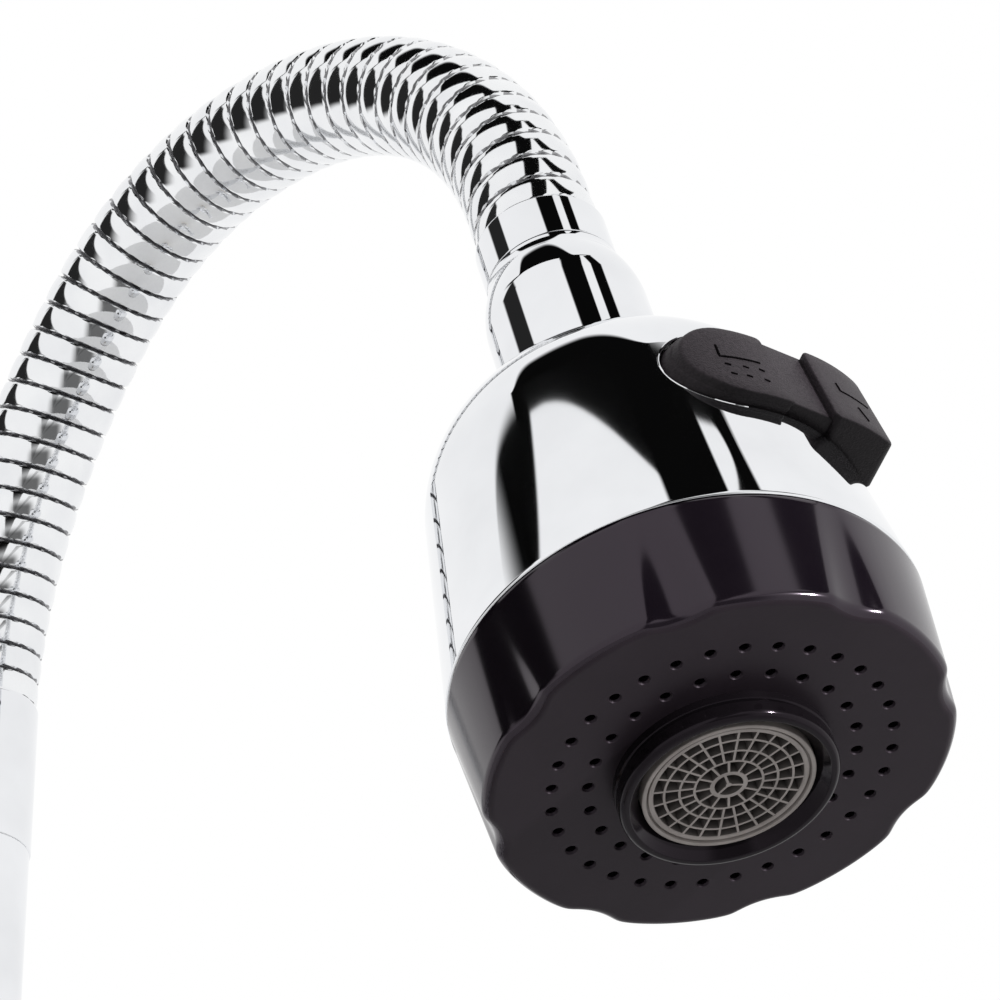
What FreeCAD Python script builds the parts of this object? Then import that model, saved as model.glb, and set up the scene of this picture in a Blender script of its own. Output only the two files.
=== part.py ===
import FreeCAD
import Part
import math
import os

Vector = FreeCAD.Vector
Placement = FreeCAD.Placement
Rotation = FreeCAD.Rotation

ORIGIN = Vector(0, 0, 0)
X_AXIS = Vector(1, 0, 0)
Y_AXIS = Vector(0, 1, 0)
Z_AXIS = Vector(0, 0, 1)

# Kitchen faucet with a bendable metal neck, in millimetres.
# The origin is the middle of the deck seat, +Z is up and +X points to the spray head.

# Clearances
RUN_GAP = 0.08          # radial clearance of a turning or sliding fit
SEAT_GAP = 0.1          # between pieces of one body that seat on each other
FREE_GAP = 0.3          # between bodies that pass each other
THREAD_GAP = 0.05       # radial clearance of a screwed joint
SEAM = 0.2              # open seam between the outer pieces of the head
PAST = 1.0              # how far a cut runs past the face that it opens
NEAR = 1e-6             # points and sizes closer than this are the same

# Deck mounting
SEAT_R = 27.0           # outer radius of the base flange
FLANGE_H = 6.5
FLANGE_ROUND = 2.0
GASKET_T = 1.5
GASKET_INSET = 2.0      # rim of the flange outside the gasket
SHANK_R = 16.5          # thread of the hollow shank, for a 35 mm deck hole
SHANK_WALL = 2.9
SHANK_TAIL = 20.0       # bare thread below the nut
SHANK_GRIP = 8.0        # length screwed into the body
DECK_ROOM = 20.0        # gap left for the deck
RUBBER_T = 3.0
STEEL_T = 2.0
WASHER_R = 27.0
NUT_ACROSS_FLATS = 50.0
NUT_T = 10.0
NUT_BEVEL_R = 0.5
NUT_BEVEL_H = 2.0

# Body
BODY_FOOT_R = 24.5
BODY_R = 22.5
BODY_FOOT_H = 13.5      # flare above the flange
FOOT_BOW_R = 0.5        # where the flare's hollow curve passes
FOOT_BOW_H = 7.5
BODY_SHOULDER_H = 20.0  # rounded top below the collar
SHOULDER_BOW_R = 2.0    # where the shoulder's round passes
SHOULDER_BOW_H = 10.0
BODY_NECK_R = 16.0
BODY_WEB = 4.7          # wall between the cartridge's bore and the stem's socket
SOCKET_R = 12.05        # bore that the swivelling stem turns in
SOCKET_DEPTH = 22.0
COLLAR_H = 14.0
COLLAR_BAND_H = 5.0
COLLAR_DRAFT = 0.4
COLLAR_BOW_R = 2.6      # where the collar's hollow curve passes
COLLAR_BOW_H = 3.4
COLLAR_LIP = 2.4        # wall of the collar at its top
INLET_R = 4.46          # M10 x 1 hose ports
INLET_X = 7.5
INLET_DEPTH = 12.0
INLET_RUN = 18.2        # metal between the hose ports and the cartridge's bore
WATERWAY_R = 3.0
OUTLET_RISE = 8.0       # mixed-water port above the cartridge's axis

# Cartridge and lever, on an axis along +Y
CART_BORE_R = 17.3
CART_BACK = 5.0         # back of the cartridge's bore, from the body's axis
BOSS_WALL = 3.7
CART_BASE_T = 5.0
CART_NUT_T = 6.6
CART_NUT_WALL = 6.25
DISC_T = 3.5
DISC_INSET = 2.3        # room round the fixed disc
MOVING_DISC_R = 12.0
MOVING_DISC_T = 5.4
MOVING_DISC_FLOOR = 1.2
CARRIER_CAP = 5.0       # carrier above the tilt axis
PIVOT_PIN_R = 1.5
PIVOT_PIN_L = 26.0
LEVER_LIFT = 22.0       # degrees from shut to fully open
SPINDLE_HALF = 3.5
SPINDLE_SHOULDER = 1.0
SPINDLE_TAIL_R = 2.3
SPINDLE_BALL_R = 2.9
SPINDLE_BALL_ARM = 8.0
SPINDLE_STEM_R = 4.0
BONNET_T = 2.0
BONNET_MOUTH_R = 9.5
BONNET_PLAY = 0.5       # between the bonnet and the lever's hollow
HUB_R = 19.6
HUB_H = 17.5
HUB_LIP = 0.03          # land left on the hub's rim round its hollow
HUB_BEVEL_R = 1.2
HUB_BEVEL_H = 1.5
HUB_SIDE_H = 7.0
HUB_ROOF = 2.5          # metal over the spindle's end
HUB_CROWN_R = 9.6       # flat top of the hub
HUB_SWELL_R = 3.0       # where the round of the hub's edge passes
HUB_SWELL_H = 3.6
LEVER_LENGTH = 98.0
LEVER_LEAN = 20.0       # degrees between the lever's arm and the face of its hub
LEVER_ROOT_W = 20.0
LEVER_ROOT_T = 11.0
LEVER_ROOT_Y = 8.0      # where the arm starts, inside the hub
LEVER_WAIST_W = 14.0
LEVER_WAIST_T = 8.0
LEVER_WAIST_SHARE = 0.45
LEVER_TIP_W = 16.0
LEVER_TIP_T = 5.0
LEVER_RISE = 10.0       # arm above the hub's rim
GRUB_R = 2.0
PLUG_R = 3.0
PLUG_POCKET = 6.0       # depth of the plug's pocket in the hub
PLUG_L = 2.4
GRUB_SINK = 2.0         # screw's head below the plug's pocket

# Swivelling stem and the neck's ends
STEM_R = 8.6
STEM_BORE_R = 5.0
STEM_FOOT_H = 18.0
STEM_SHOWN = 76.0       # bare stem between collar and lower ferrule
STEM_SPIGOT_WALL = 1.1
STEM_SPIGOT_L = 16.0
STEM_RING_SHARES = (0.28, 0.72)
O_RING_R = 1.1          # half the thickness of the stem's O-rings
O_RING_ROOM = 0.08
FERRULE_LIP = 0.26      # wall of the lower ferrule round the hose
FERRULE_L = 19.0
FERRULE_CUP = 4.0       # how far the lower ferrule reaches over the hose
FERRULE_BEVEL_R = 0.16
FERRULE_BEVEL_H = 0.5

# Bendable neck: three tangent arcs from the lower ferrule to the head
NECK_LOWER_R = 90.6
NECK_LOWER_TURN = 42.1
NECK_ARCH_R = 47.1
NECK_ARCH_TURN = 41.3
NECK_TIP_R = 56.5
NECK_TIP_TURN = 77.8
HOSE_R = 8.44
HOSE_GROOVE = 1.0
HOSE_BORE_R = 6.2
RIB_PITCH = 4.2
RIB_FLANK = 0.22        # share of the pitch that each flank of a rib takes
TUBE_R = 5.4
TUBE_BORE_R = 4.0

# Spray head, in its own frame: origin in the middle of the spray face, +Z towards the hose
CAP_TOP = 16.2
CAP_TOP_R = 30.4
CAP_RIM_R = 29.65
CAP_EDGE = 2.0          # rounding between skirt and face
CAP_WALL = 2.4
FACE_T = 2.6
CAP_COLLAR_H = 3.8
NOTCH_COUNT = 8
NOTCH_PHASE = 34.8
NOTCH_R = 5.0
NOTCH_DEPTH = 2.0
NOTCH_LENGTH = 9.0
NOTCH_PAST = 4.0
SPRAY_HOLE_R = 0.65
OUTER_RING_R = 21.25
OUTER_RING_COUNT = 32
OUTER_RING_PHASE = 6.85
INNER_RING_R = 16.7
INNER_RING_COUNT = 24
INNER_RING_PHASE = 5.2

BELL_SIDE_H = 39.7      # straight side, before its shoulder is rounded
BELL_CORNER_R = 24.9
BELL_SHOULDER_H = 5.6
BELL_TOP_R = 13.9
BELL_ROUND = 17.6
BELL_WALL = 2.0

BOSS_OUT = 3.8          # how far the aerator's boss stands out of the face
AERATOR_R = 13.7
AERATOR_STEP = 1.15     # boss beyond its thread
AERATOR_TOP = 14.0
AERATOR_ROUND = 1.0
AERATOR_GROOVE_Z = -1.3
AERATOR_GROOVE_HALF = 0.3
AERATOR_GROOVE_DEPTH = 0.5
INSERT_R = 10.8
INSERT_WALL = 1.0
INSERT_RECESS = 2.0
INSERT_H = 4.4
INSERT_LEDGE = 1.6
GRID_SINK = 0.3
GRID_H = 2.0
GRID_WALL = 0.5
GRID_RINGS = (1.7, 4.1, 6.5, 8.7)
GRID_SPOKES = (3, 8, 16, 24, 24)
AERATOR_SEAL_T = 1.6
AERATOR_SEAL_WALL = 1.4

CORE_LIFT = 0.4         # core above the spray face
CORE_R = 15.0
CORE_PLATE_DROP = 3.2   # plate below the cap's top
CORE_PLATE_T = 3.0
FACE_SEAL_R = 0.95
MANIFOLD_R = 22.0
MANIFOLD_H = 8.0
MANIFOLD_SLOPE = 3.0
MANIFOLD_ROOF = 4.0     # cross way below the manifold's top
SPRAY_WAY_R = 2.5
SPRAY_WAY_OUT = 3.5     # spray way outside the core's barrel
CORE_SHOULDER_DROP = 5.7
CORE_SHOULDER_SLOPE = 1.5
CORE_NECK_R = 8.95
CORE_NECK_L = 12.1      # thread of the core inside the head's nut
HEAD_BORE_R = 4.6
SIDE_WAY_OUT = 1.5      # valve ports beside the spool's bore

HEAD_NUT_R = 10.9
HEAD_NUT_TOP_R = 9.3
HEAD_NUT_SIDE = 13.1
HEAD_NUT_TAPER = 16.0
HEAD_NUT_SWELL_R = 0.35
HEAD_NUT_SWELL_H = 7.0
HEAD_NUT_BEVEL_R = 0.5
HEAD_NUT_BEVEL_H = 0.6
NUT_WASHER_T = 1.9
NUT_WASHER_INSET = 0.75
SPIGOT_R = 6.5
SPIGOT_BORE_R = 4.5
SPIGOT_FLANGE_INSET = 0.55
SPIGOT_FLANGE_T = 3.0
UPPER_FERRULE_R = 9.1
UPPER_FERRULE_L = 9.6
UPPER_BEVEL_R = 0.6
UPPER_BEVEL_H = 0.8

# Selector rocker and the valve that it shifts
ROCKER_DROP = 14.7      # rocker's middle below the bell's shoulder corner
ROCKER_H = 13.8
ROCKER_LEFT = 16.1
ROCKER_RIGHT = 16.8
ROCKER_PROUD = 1.5      # pressed pad over the bell
SADDLE_PROUD = 0.6
SADDLE_LEFT = 3.4
SADDLE_RIGHT = 8.3
SADDLE_LAP_LEFT = 1.5   # saddle under the pads
SADDLE_LAP_RIGHT = 0.5
PAD_DEPTH = 6.0
SADDLE_DEPTH = 2.4
ROCKER_TILT = 23.0      # degrees between the two settings
ROCKER_PIVOT_DEPTH = 7.7
ROCKER_PIN_R = 1.5
ROCKER_HUB_R = 3.2
ROCKER_HUB_H = 9.4
WEB_HALF = 2.6
WEB_SINK = 1.0          # top of the web inside the saddle
EAR_T = 2.2
EAR_HALF = 2.2
EAR_ROOT = 2.0          # root of the lug inside the core
TONGUE_HALF = 1.5
TONGUE_H = 3.0
TONGUE_TIP_X = 2.6      # tip of the tongue, from the spool's axis
WINDOW_GAP = 0.5
SPOOL_R = 4.4
SPOOL_END_ROOM = 0.94   # free travel left at each end of the spool
SPOOL_SLOT_HALF = 2.15
SPOOL_SLOT_FLOOR = 0.5
SPOOL_SEAL_R = 0.7
SPOOL_SEAL_SHARES = (-0.8, -0.35, 0.35, 0.8)
SPOOL_PLUG_T = 2.0
SPOOL_PLUG_R = 5.2

# Heights of the base, from the deck upwards
FLANGE_TOP = FLANGE_H
GRIP_TOP = FLANGE_TOP + SHANK_GRIP
CART_Z = GRIP_TOP + INLET_DEPTH + INLET_RUN + CART_BORE_R
SOCKET_BOTTOM = CART_Z + CART_BORE_R + BODY_WEB
BODY_TOP = SOCKET_BOTTOM + SOCKET_DEPTH
COLLAR_TOP = BODY_TOP + COLLAR_H
SPIGOT_LOW = COLLAR_TOP + STEM_SHOWN
NECK_FOOT_Z = SPIGOT_LOW + FERRULE_L

# Stations along the cartridge, from the body's axis outwards
CART_BASE_TOP = CART_BACK + CART_BASE_T
DISC_TOP = CART_BASE_TOP + DISC_T
MOVING_LOW = DISC_TOP + SEAT_GAP
MOVING_TOP = MOVING_LOW + MOVING_DISC_T
BALL_FLOOR = MOVING_LOW + MOVING_DISC_FLOOR
PIVOT_A = BALL_FLOOR + FREE_GAP + SPINDLE_BALL_R + SPINDLE_BALL_ARM
CARRIER_LOW = MOVING_TOP + FREE_GAP
CARRIER_TOP = PIVOT_A + CARRIER_CAP
BOSS_END = CARRIER_TOP + FREE_GAP + CART_NUT_T + SEAT_GAP
BOSS_R = CART_BORE_R + BOSS_WALL

# Heights of the head, from the spray face upwards
BELL_FOOT = CAP_TOP + SEAM
BELL_CORNER_Z = BELL_FOOT + BELL_SIDE_H
BELL_TOP = BELL_CORNER_Z + BELL_SHOULDER_H
HEAD_NUT_FOOT = BELL_TOP + SEAM
HEAD_NUT_BEND = HEAD_NUT_FOOT + HEAD_NUT_SIDE
HEAD_NUT_TOP = HEAD_NUT_BEND + HEAD_NUT_TAPER
UPPER_FERRULE_LOW = HEAD_NUT_TOP + FREE_GAP
HEAD_STACK = UPPER_FERRULE_LOW + UPPER_FERRULE_L
CORE_FOOT = FACE_T + CORE_LIFT
CORE_PLATE_Z = CAP_TOP - CORE_PLATE_DROP
CORE_PLATE_TOP = CORE_PLATE_Z + CORE_PLATE_T
MANIFOLD_TOP = CORE_PLATE_TOP + MANIFOLD_H
CORE_SHOULDER = BELL_TOP - CORE_SHOULDER_DROP
CORE_NECK_TOP = HEAD_NUT_FOOT + CORE_NECK_L
ROCKER_Z = BELL_CORNER_Z - ROCKER_DROP
AERATOR_THREAD_R = AERATOR_R - AERATOR_STEP
CAP_BORE_R = CAP_RIM_R - CAP_WALL - CAP_EDGE
CORE_PLATE_R = CAP_BORE_R - SEAT_GAP


# Helpers

def outline_edges(outline):
    """Edges through (radius, height) points in the XZ plane; an arc is (middle point, end point)."""
    edges = []
    here = Vector(outline[0][0], 0, outline[0][1])
    for step in list(outline[1:]) + [outline[0]]:
        if isinstance(step[0], tuple):
            middle = Vector(step[0][0], 0, step[0][1])
            there = Vector(step[1][0], 0, step[1][1])
            edges.append(Part.Arc(here, middle, there).toShape())
        else:
            there = Vector(step[0], 0, step[1])
            if here.distanceToPoint(there) > NEAR:
                edges.append(Part.LineSegment(here, there).toShape())
        here = there
    return edges


def revolve(outline):
    """Turns an outline about Z."""
    face = Part.Face(Part.Wire(outline_edges(outline)))
    return face.revolve(ORIGIN, Z_AXIS, 360.0)


def rod(radius, low, high, x=0.0, y=0.0):
    return Part.makeCylinder(radius, high - low, Vector(x, y, low))


def cross_rod(radius, start, end):
    """A cylinder between two points."""
    run = end - start
    return Part.makeCylinder(radius, run.Length, start, run)


def side_rod(radius, y_start, y_end, z, x=0.0):
    """A cylinder along Y."""
    return cross_rod(radius, Vector(x, y_start, z), Vector(x, y_end, z))


def ring(outer, inner, low, high):
    return rod(outer, low, high).cut(rod(inner, low - PAST, high + PAST))


def block(x, y, z):
    """A box between (low, high) pairs."""
    size = [pair[1] - pair[0] for pair in (x, y, z)]
    return Part.makeBox(size[0], size[1], size[2], Vector(x[0], y[0], z[0]))


def o_ring(middle, half, height):
    return Part.makeTorus(middle, half, Vector(0, 0, height))


def around(shape, count, phase=0.0):
    """Copies of a shape at equal angles about Z."""
    copies = []
    for k in range(count):
        copy = shape.copy()
        copy.rotate(ORIGIN, Z_AXIS, phase + 360.0 * k / count)
        copies.append(copy)
    return copies


def placed(shape, placement):
    copy = shape.copy()
    copy.Placement = placement.multiply(copy.Placement)
    return copy


nodes = {}


def keep(name, shape, placement=None):
    nodes[name] = placed(shape, placement) if placement else shape


# Route of the neck

class NeckArc:
    """One arc of the neck, in the XZ plane; heading 0 is straight up and 90 is along +X."""

    def __init__(self, start, heading, radius, turn):
        self.heading = heading
        self.radius = radius
        self.turn = turn
        angle = math.radians(heading)
        self.centre = start + Vector(math.cos(angle), 0, -math.sin(angle)) * radius

    def point(self, share):
        angle = math.radians(self.heading + share * self.turn)
        return self.centre + Vector(-math.cos(angle), 0, math.sin(angle)) * self.radius

    def placement(self, share):
        return Placement(self.point(share), Rotation(Y_AXIS, self.heading + share * self.turn))

    def length(self):
        return self.radius * math.radians(self.turn)

    def sweep(self, face):
        """Sweeps a face drawn about the origin along the arc."""
        start = placed(face, self.placement(0))
        return start.revolve(self.centre, Y_AXIS, self.turn)


lower_arc = NeckArc(Vector(0, 0, NECK_FOOT_Z), 0.0, NECK_LOWER_R, NECK_LOWER_TURN)
arch_arc = NeckArc(lower_arc.point(1), NECK_LOWER_TURN, NECK_ARCH_R, NECK_ARCH_TURN)
tip_arc = NeckArc(arch_arc.point(1), NECK_LOWER_TURN + NECK_ARCH_TURN, NECK_TIP_R, NECK_TIP_TURN)
neck_arcs = {"lower": lower_arc, "arch": arch_arc, "tip": tip_arc}

HEAD_TILT = 180.0 - NECK_LOWER_TURN - NECK_ARCH_TURN - NECK_TIP_TURN
head_turn = Rotation(Y_AXIS, -HEAD_TILT)
face_centre = tip_arc.point(1) - head_turn.multVec(Z_AXIS) * HEAD_STACK
HEAD = Placement(face_centre, head_turn)


def disc_face(radius):
    return Part.Face(Part.Wire(Part.makeCircle(radius)))


def ribbed_span(arc):
    """Ribs along one arc: each is a flank, a crown and a flank."""
    count = round(arc.length() / RIB_PITCH)
    groove_r = HOSE_R - HOSE_GROOVE
    rib = ((0.0, groove_r), (RIB_FLANK, HOSE_R), (1 - RIB_FLANK, HOSE_R))
    circles = []
    for k in range(count):
        for share, radius in rib:
            circles.append(placed(Part.makeCircle(radius), arc.placement((k + share) / count)))
    circles.append(placed(Part.makeCircle(groove_r), arc.placement(1.0)))
    outside = Part.makeLoft([Part.Wire(circle) for circle in circles], True, True)
    return outside.cut(arc.sweep(disc_face(HOSE_BORE_R)))


def make_neck():
    for span, arc in neck_arcs.items():
        keep("neck_hose_" + span, ribbed_span(arc))
        keep("water_tube_" + span, arc.sweep(disc_face(TUBE_R).cut(disc_face(TUBE_BORE_R))))


# Deck mounting

def make_mounting():
    hole = SHANK_R + FREE_GAP
    gasket_r = SEAT_R - GASKET_INSET
    rim = gasket_r + SEAT_GAP
    bend = FLANGE_ROUND * (1 - math.sqrt(0.5))
    keep("base_flange", revolve([
        (hole, GASKET_T), (rim, GASKET_T), (rim, SEAT_GAP), (SEAT_R, SEAT_GAP),
        (SEAT_R, FLANGE_TOP - FLANGE_ROUND),
        ((SEAT_R - bend, FLANGE_TOP - bend), (SEAT_R - FLANGE_ROUND, FLANGE_TOP)), (hole, FLANGE_TOP)]))
    keep("base_gasket", ring(gasket_r, hole, 0, GASKET_T))
    rubber_low = -DECK_ROOM - RUBBER_T
    steel_low = rubber_low - STEEL_T
    nut_low = steel_low - NUT_T
    keep("threaded_shank", ring(SHANK_R, SHANK_R - SHANK_WALL, nut_low - SHANK_TAIL, GRIP_TOP - SEAT_GAP))
    keep("rubber_washer", ring(WASHER_R, hole, rubber_low, -DECK_ROOM))
    keep("steel_washer", ring(WASHER_R, hole, steel_low, rubber_low))
    corner = NUT_ACROSS_FLATS / math.sqrt(3)
    flat = NUT_ACROSS_FLATS / 2 - NUT_BEVEL_R
    corners = [Rotation(Z_AXIS, 60 * k).multVec(Vector(corner, 0, nut_low)) for k in range(7)]
    nut = Part.Face(Part.makePolygon(corners)).extrude(Vector(0, 0, NUT_T))
    turned = revolve([
        (0, steel_low), (flat, steel_low), (corner, steel_low - NUT_BEVEL_H), (corner, nut_low + NUT_BEVEL_H),
        (flat, nut_low), (0, nut_low)])
    keep("mounting_nut", nut.common(turned).cut(rod(SHANK_R + THREAD_GAP, nut_low - PAST, steel_low + PAST)))


# Body, swivelling stem and collar

CART = Placement(Vector(0, 0, CART_Z), Rotation(X_AXIS, -90))


def make_body():
    column = revolve([
        (0, FLANGE_TOP), (BODY_FOOT_R, FLANGE_TOP),
        ((BODY_R + FOOT_BOW_R, FLANGE_TOP + FOOT_BOW_H), (BODY_R, FLANGE_TOP + BODY_FOOT_H)),
        (BODY_R, BODY_TOP - BODY_SHOULDER_H),
        ((BODY_R - SHOULDER_BOW_R, BODY_TOP - SHOULDER_BOW_H), (BODY_NECK_R, BODY_TOP)), (0, BODY_TOP)])
    body = column.fuse(placed(rod(BOSS_R, 0, BOSS_END), CART))
    outlet_z = CART_Z + OUTLET_RISE
    cuts = [
        rod(SHANK_R + THREAD_GAP, FLANGE_TOP - PAST, GRIP_TOP),
        rod(SOCKET_R, SOCKET_BOTTOM, BODY_TOP + PAST),
        placed(rod(CART_BORE_R, CART_BACK, BOSS_END + PAST), CART),
        rod(WATERWAY_R, outlet_z, SOCKET_BOTTOM + PAST),
        side_rod(WATERWAY_R, 0, CART_BACK + PAST, outlet_z)]
    for x in (INLET_X, -INLET_X):
        cuts.append(rod(INLET_R, GRIP_TOP - PAST, GRIP_TOP + INLET_DEPTH, x))
        cuts.append(rod(WATERWAY_R, GRIP_TOP, CART_Z, x))
        cuts.append(side_rod(WATERWAY_R, 0, CART_BACK + PAST, CART_Z, x))
    keep("faucet_body", body.cut(cuts).removeSplitter())


def make_stem():
    foot_low = SOCKET_BOTTOM + FREE_GAP
    foot_top = foot_low + STEM_FOOT_H
    foot_r = SOCKET_R - RUN_GAP
    ring_r = foot_r - O_RING_R
    groove = O_RING_R + O_RING_ROOM
    spigot_r = STEM_BORE_R + STEM_SPIGOT_WALL
    spigot_top = SPIGOT_LOW + STEM_SPIGOT_L
    stem = revolve([
        (STEM_BORE_R, foot_low), (foot_r, foot_low), (foot_r, foot_top), (STEM_R, foot_top),
        (STEM_R, SPIGOT_LOW), (spigot_r, SPIGOT_LOW), (spigot_r, spigot_top), (STEM_BORE_R, spigot_top)])
    rings = []
    for share in STEM_RING_SHARES:
        height = foot_low + share * STEM_FOOT_H
        stem = stem.cut(ring(foot_r + PAST, ring_r - groove, height - groove, height + groove))
        rings.append(o_ring(ring_r, O_RING_R, height))
    keep("spout_stem", stem)
    keep("stem_o_rings", Part.makeCompound(rings))
    keep("stem_slip_ring", ring(foot_r, STEM_R + SEAT_GAP, foot_top, BODY_TOP - FREE_GAP))
    collar_bore = STEM_R + RUN_GAP
    collar_top_r = STEM_R + COLLAR_LIP
    keep("swivel_collar", revolve([
        (collar_bore, BODY_TOP), (BODY_NECK_R, BODY_TOP),
        (BODY_NECK_R - COLLAR_DRAFT, BODY_TOP + COLLAR_BAND_H),
        ((collar_top_r + COLLAR_BOW_R, COLLAR_TOP - COLLAR_BOW_H), (collar_top_r, COLLAR_TOP)),
        (collar_bore, COLLAR_TOP)]))
    cup_r = HOSE_R + SEAT_GAP
    cup_top = NECK_FOOT_Z + FERRULE_CUP
    ferrule_r = cup_r + FERRULE_LIP
    grip_r = spigot_r + THREAD_GAP
    grip_top = spigot_top + SEAT_GAP
    keep("lower_ferrule", revolve([
        (grip_r, SPIGOT_LOW), (ferrule_r, SPIGOT_LOW), (ferrule_r, cup_top - FERRULE_BEVEL_H),
        (ferrule_r - FERRULE_BEVEL_R, cup_top), (cup_r, cup_top), (cup_r, NECK_FOOT_Z),
        (STEM_BORE_R, NECK_FOOT_Z), (STEM_BORE_R, grip_top), (grip_r, grip_top)]))


# Cartridge and lever

HALF_LIFT = LEVER_LIFT / 2
PIVOT = Vector(0, PIVOT_A, CART_Z)
LEVER = Placement(PIVOT, Rotation(X_AXIS, HALF_LIFT - 90))
BONNET_R = math.hypot(BOSS_END - PIVOT_A, BOSS_R)
HUB_HOLLOW_R = BONNET_R + BONNET_PLAY
HUB_RIM = math.sqrt(HUB_HOLLOW_R ** 2 - (HUB_R - HUB_BEVEL_R) ** 2) + HUB_LIP
HUB_CROWN = HUB_RIM + HUB_H
SPINDLE_END = HUB_CROWN - HUB_ROOF


def make_cartridge():
    port_places = ((INLET_X, 0.0), (-INLET_X, 0.0), (0.0, -OUTLET_RISE))
    ports = [rod(WATERWAY_R, CART_BACK - PAST, DISC_TOP + PAST, x, y) for x, y in port_places]
    keep("cartridge_base", rod(CART_BORE_R - SEAT_GAP, CART_BACK, CART_BASE_TOP).cut(ports), CART)
    keep("fixed_disc", rod(CART_BORE_R - DISC_INSET, CART_BASE_TOP, DISC_TOP).cut(ports), CART)
    disc = rod(MOVING_DISC_R, MOVING_LOW, MOVING_TOP)
    disc = disc.cut(rod(SPINDLE_BALL_R + SEAT_GAP, BALL_FLOOR, MOVING_TOP + PAST))
    disc.translate(Vector(0, SPINDLE_BALL_ARM * math.sin(math.radians(HALF_LIFT)), 0))
    keep("moving_disc", disc, CART)
    slot_x = SPINDLE_STEM_R + FREE_GAP
    slot_y = SPINDLE_HALF + (CARRIER_TOP - CARRIER_LOW) / 2
    slot = block((-slot_x, slot_x), (-slot_y, slot_y), (CARRIER_LOW - PAST, CARRIER_TOP + PAST))
    carrier = rod(CART_BORE_R - RUN_GAP, CARRIER_LOW, CARRIER_TOP).cut(slot)
    half_pin = PIVOT_PIN_L / 2
    pin = cross_rod(PIVOT_PIN_R, Vector(-half_pin, 0, PIVOT_A), Vector(half_pin, 0, PIVOT_A))
    keep("spindle_carrier", carrier.cut(pin), CART)
    keep("spindle_pin", pin, CART)
    nut_r = CART_BORE_R - THREAD_GAP
    nut = ring(nut_r, nut_r - CART_NUT_WALL, CARRIER_TOP + FREE_GAP, BOSS_END - SEAT_GAP)
    keep("cartridge_nut", nut, CART)
    shell = Part.makeSphere(BONNET_R).cut(Part.makeSphere(BONNET_R - BONNET_T))
    shell = shell.common(rod(BONNET_R, BOSS_END - PIVOT_A, BONNET_R))
    shell = shell.cut(rod(BONNET_MOUTH_R, 0, BONNET_R + PAST))
    shell.translate(Vector(0, 0, PIVOT_A))
    keep("bonnet", shell, CART)


def make_spindle():
    half = SPINDLE_HALF
    bar = block((-half, half), (-half, half), (-half - SPINDLE_SHOULDER, half + SPINDLE_SHOULDER))
    tail = rod(SPINDLE_TAIL_R, -SPINDLE_BALL_ARM, 0)
    ball = Part.makeSphere(SPINDLE_BALL_R, Vector(0, 0, -SPINDLE_BALL_ARM))
    stem = rod(SPINDLE_STEM_R, 0, SPINDLE_END)
    eye = cross_rod(PIVOT_PIN_R + RUN_GAP, Vector(-HUB_R, 0, 0), Vector(HUB_R, 0, 0))
    keep("spindle", bar.fuse([tail, ball, stem]).cut(eye).removeSplitter(), LEVER)


def lever_section(width, thickness, reach):
    """A rounded oblong across the arm, at a distance along it from the hub's axis."""
    half_t = thickness / 2
    half_w = width / 2 - half_t
    wire = Part.Wire(outline_edges([
        (-half_w, -half_t), (half_w, -half_t), ((half_w + half_t, 0), (half_w, half_t)), (-half_w, half_t),
        ((-half_w - half_t, 0), (-half_w, -half_t))]))
    wire.translate(Vector(0, -reach, 0))
    return wire


def make_lever():
    hub = revolve([
        (0, HUB_RIM), (HUB_R - HUB_BEVEL_R, HUB_RIM), (HUB_R, HUB_RIM + HUB_BEVEL_H),
        (HUB_R, HUB_RIM + HUB_SIDE_H),
        ((HUB_R - HUB_SWELL_R, HUB_CROWN - HUB_SWELL_H), (HUB_CROWN_R, HUB_CROWN)), (0, HUB_CROWN)])
    arm = Part.makeLoft([
        lever_section(LEVER_ROOT_W, LEVER_ROOT_T, LEVER_ROOT_Y),
        lever_section(LEVER_WAIST_W, LEVER_WAIST_T, LEVER_WAIST_SHARE * LEVER_LENGTH),
        lever_section(LEVER_TIP_W, LEVER_TIP_T, LEVER_LENGTH)], True, False)
    arm.rotate(ORIGIN, X_AXIS, -LEVER_LEAN)
    arm.translate(Vector(0, 0, HUB_RIM + LEVER_RISE))
    screw_z = (HUB_HOLLOW_R + HUB_CROWN) / 2
    plug_in = HUB_R - PLUG_POCKET
    lever = hub.fuse(arm).cut([
        Part.makeSphere(HUB_HOLLOW_R),
        rod(SPINDLE_STEM_R + THREAD_GAP, HUB_HOLLOW_R - PAST, SPINDLE_END + SEAT_GAP),
        side_rod(GRUB_R + THREAD_GAP, 0, HUB_R, screw_z),
        side_rod(PLUG_R + THREAD_GAP, plug_in, HUB_R + PAST, screw_z)])
    keep("lever", lever.removeSplitter(), LEVER)
    keep("lever_screw", side_rod(GRUB_R, SPINDLE_STEM_R + SEAT_GAP, plug_in - GRUB_SINK, screw_z), LEVER)
    plug_low = plug_in + SEAT_GAP
    keep("lever_plug", side_rod(PLUG_R, plug_low, plug_low + PLUG_L, screw_z), LEVER)


# Spray head

def bell_outline(offset):
    """Foot, shoulder corner and top of the bell's outside, moved outwards by an offset."""
    slope = math.atan2(CAP_TOP_R - BELL_CORNER_R, BELL_SIDE_H)
    lean = math.atan2(BELL_SHOULDER_H, BELL_CORNER_R - BELL_TOP_R)
    reach = offset * math.tan((math.pi / 2 - slope - lean) / 2)
    corner_r = BELL_CORNER_R + offset * math.cos(slope) - reach * math.sin(slope)
    corner_z = BELL_CORNER_Z + offset * math.sin(slope) + reach * math.cos(slope)
    foot_r = CAP_TOP_R + offset / math.cos(slope)
    top_r = BELL_TOP_R + offset * math.tan(lean / 2)
    return (foot_r, BELL_FOOT), (corner_r, corner_z), (top_r, BELL_TOP + offset)


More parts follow.
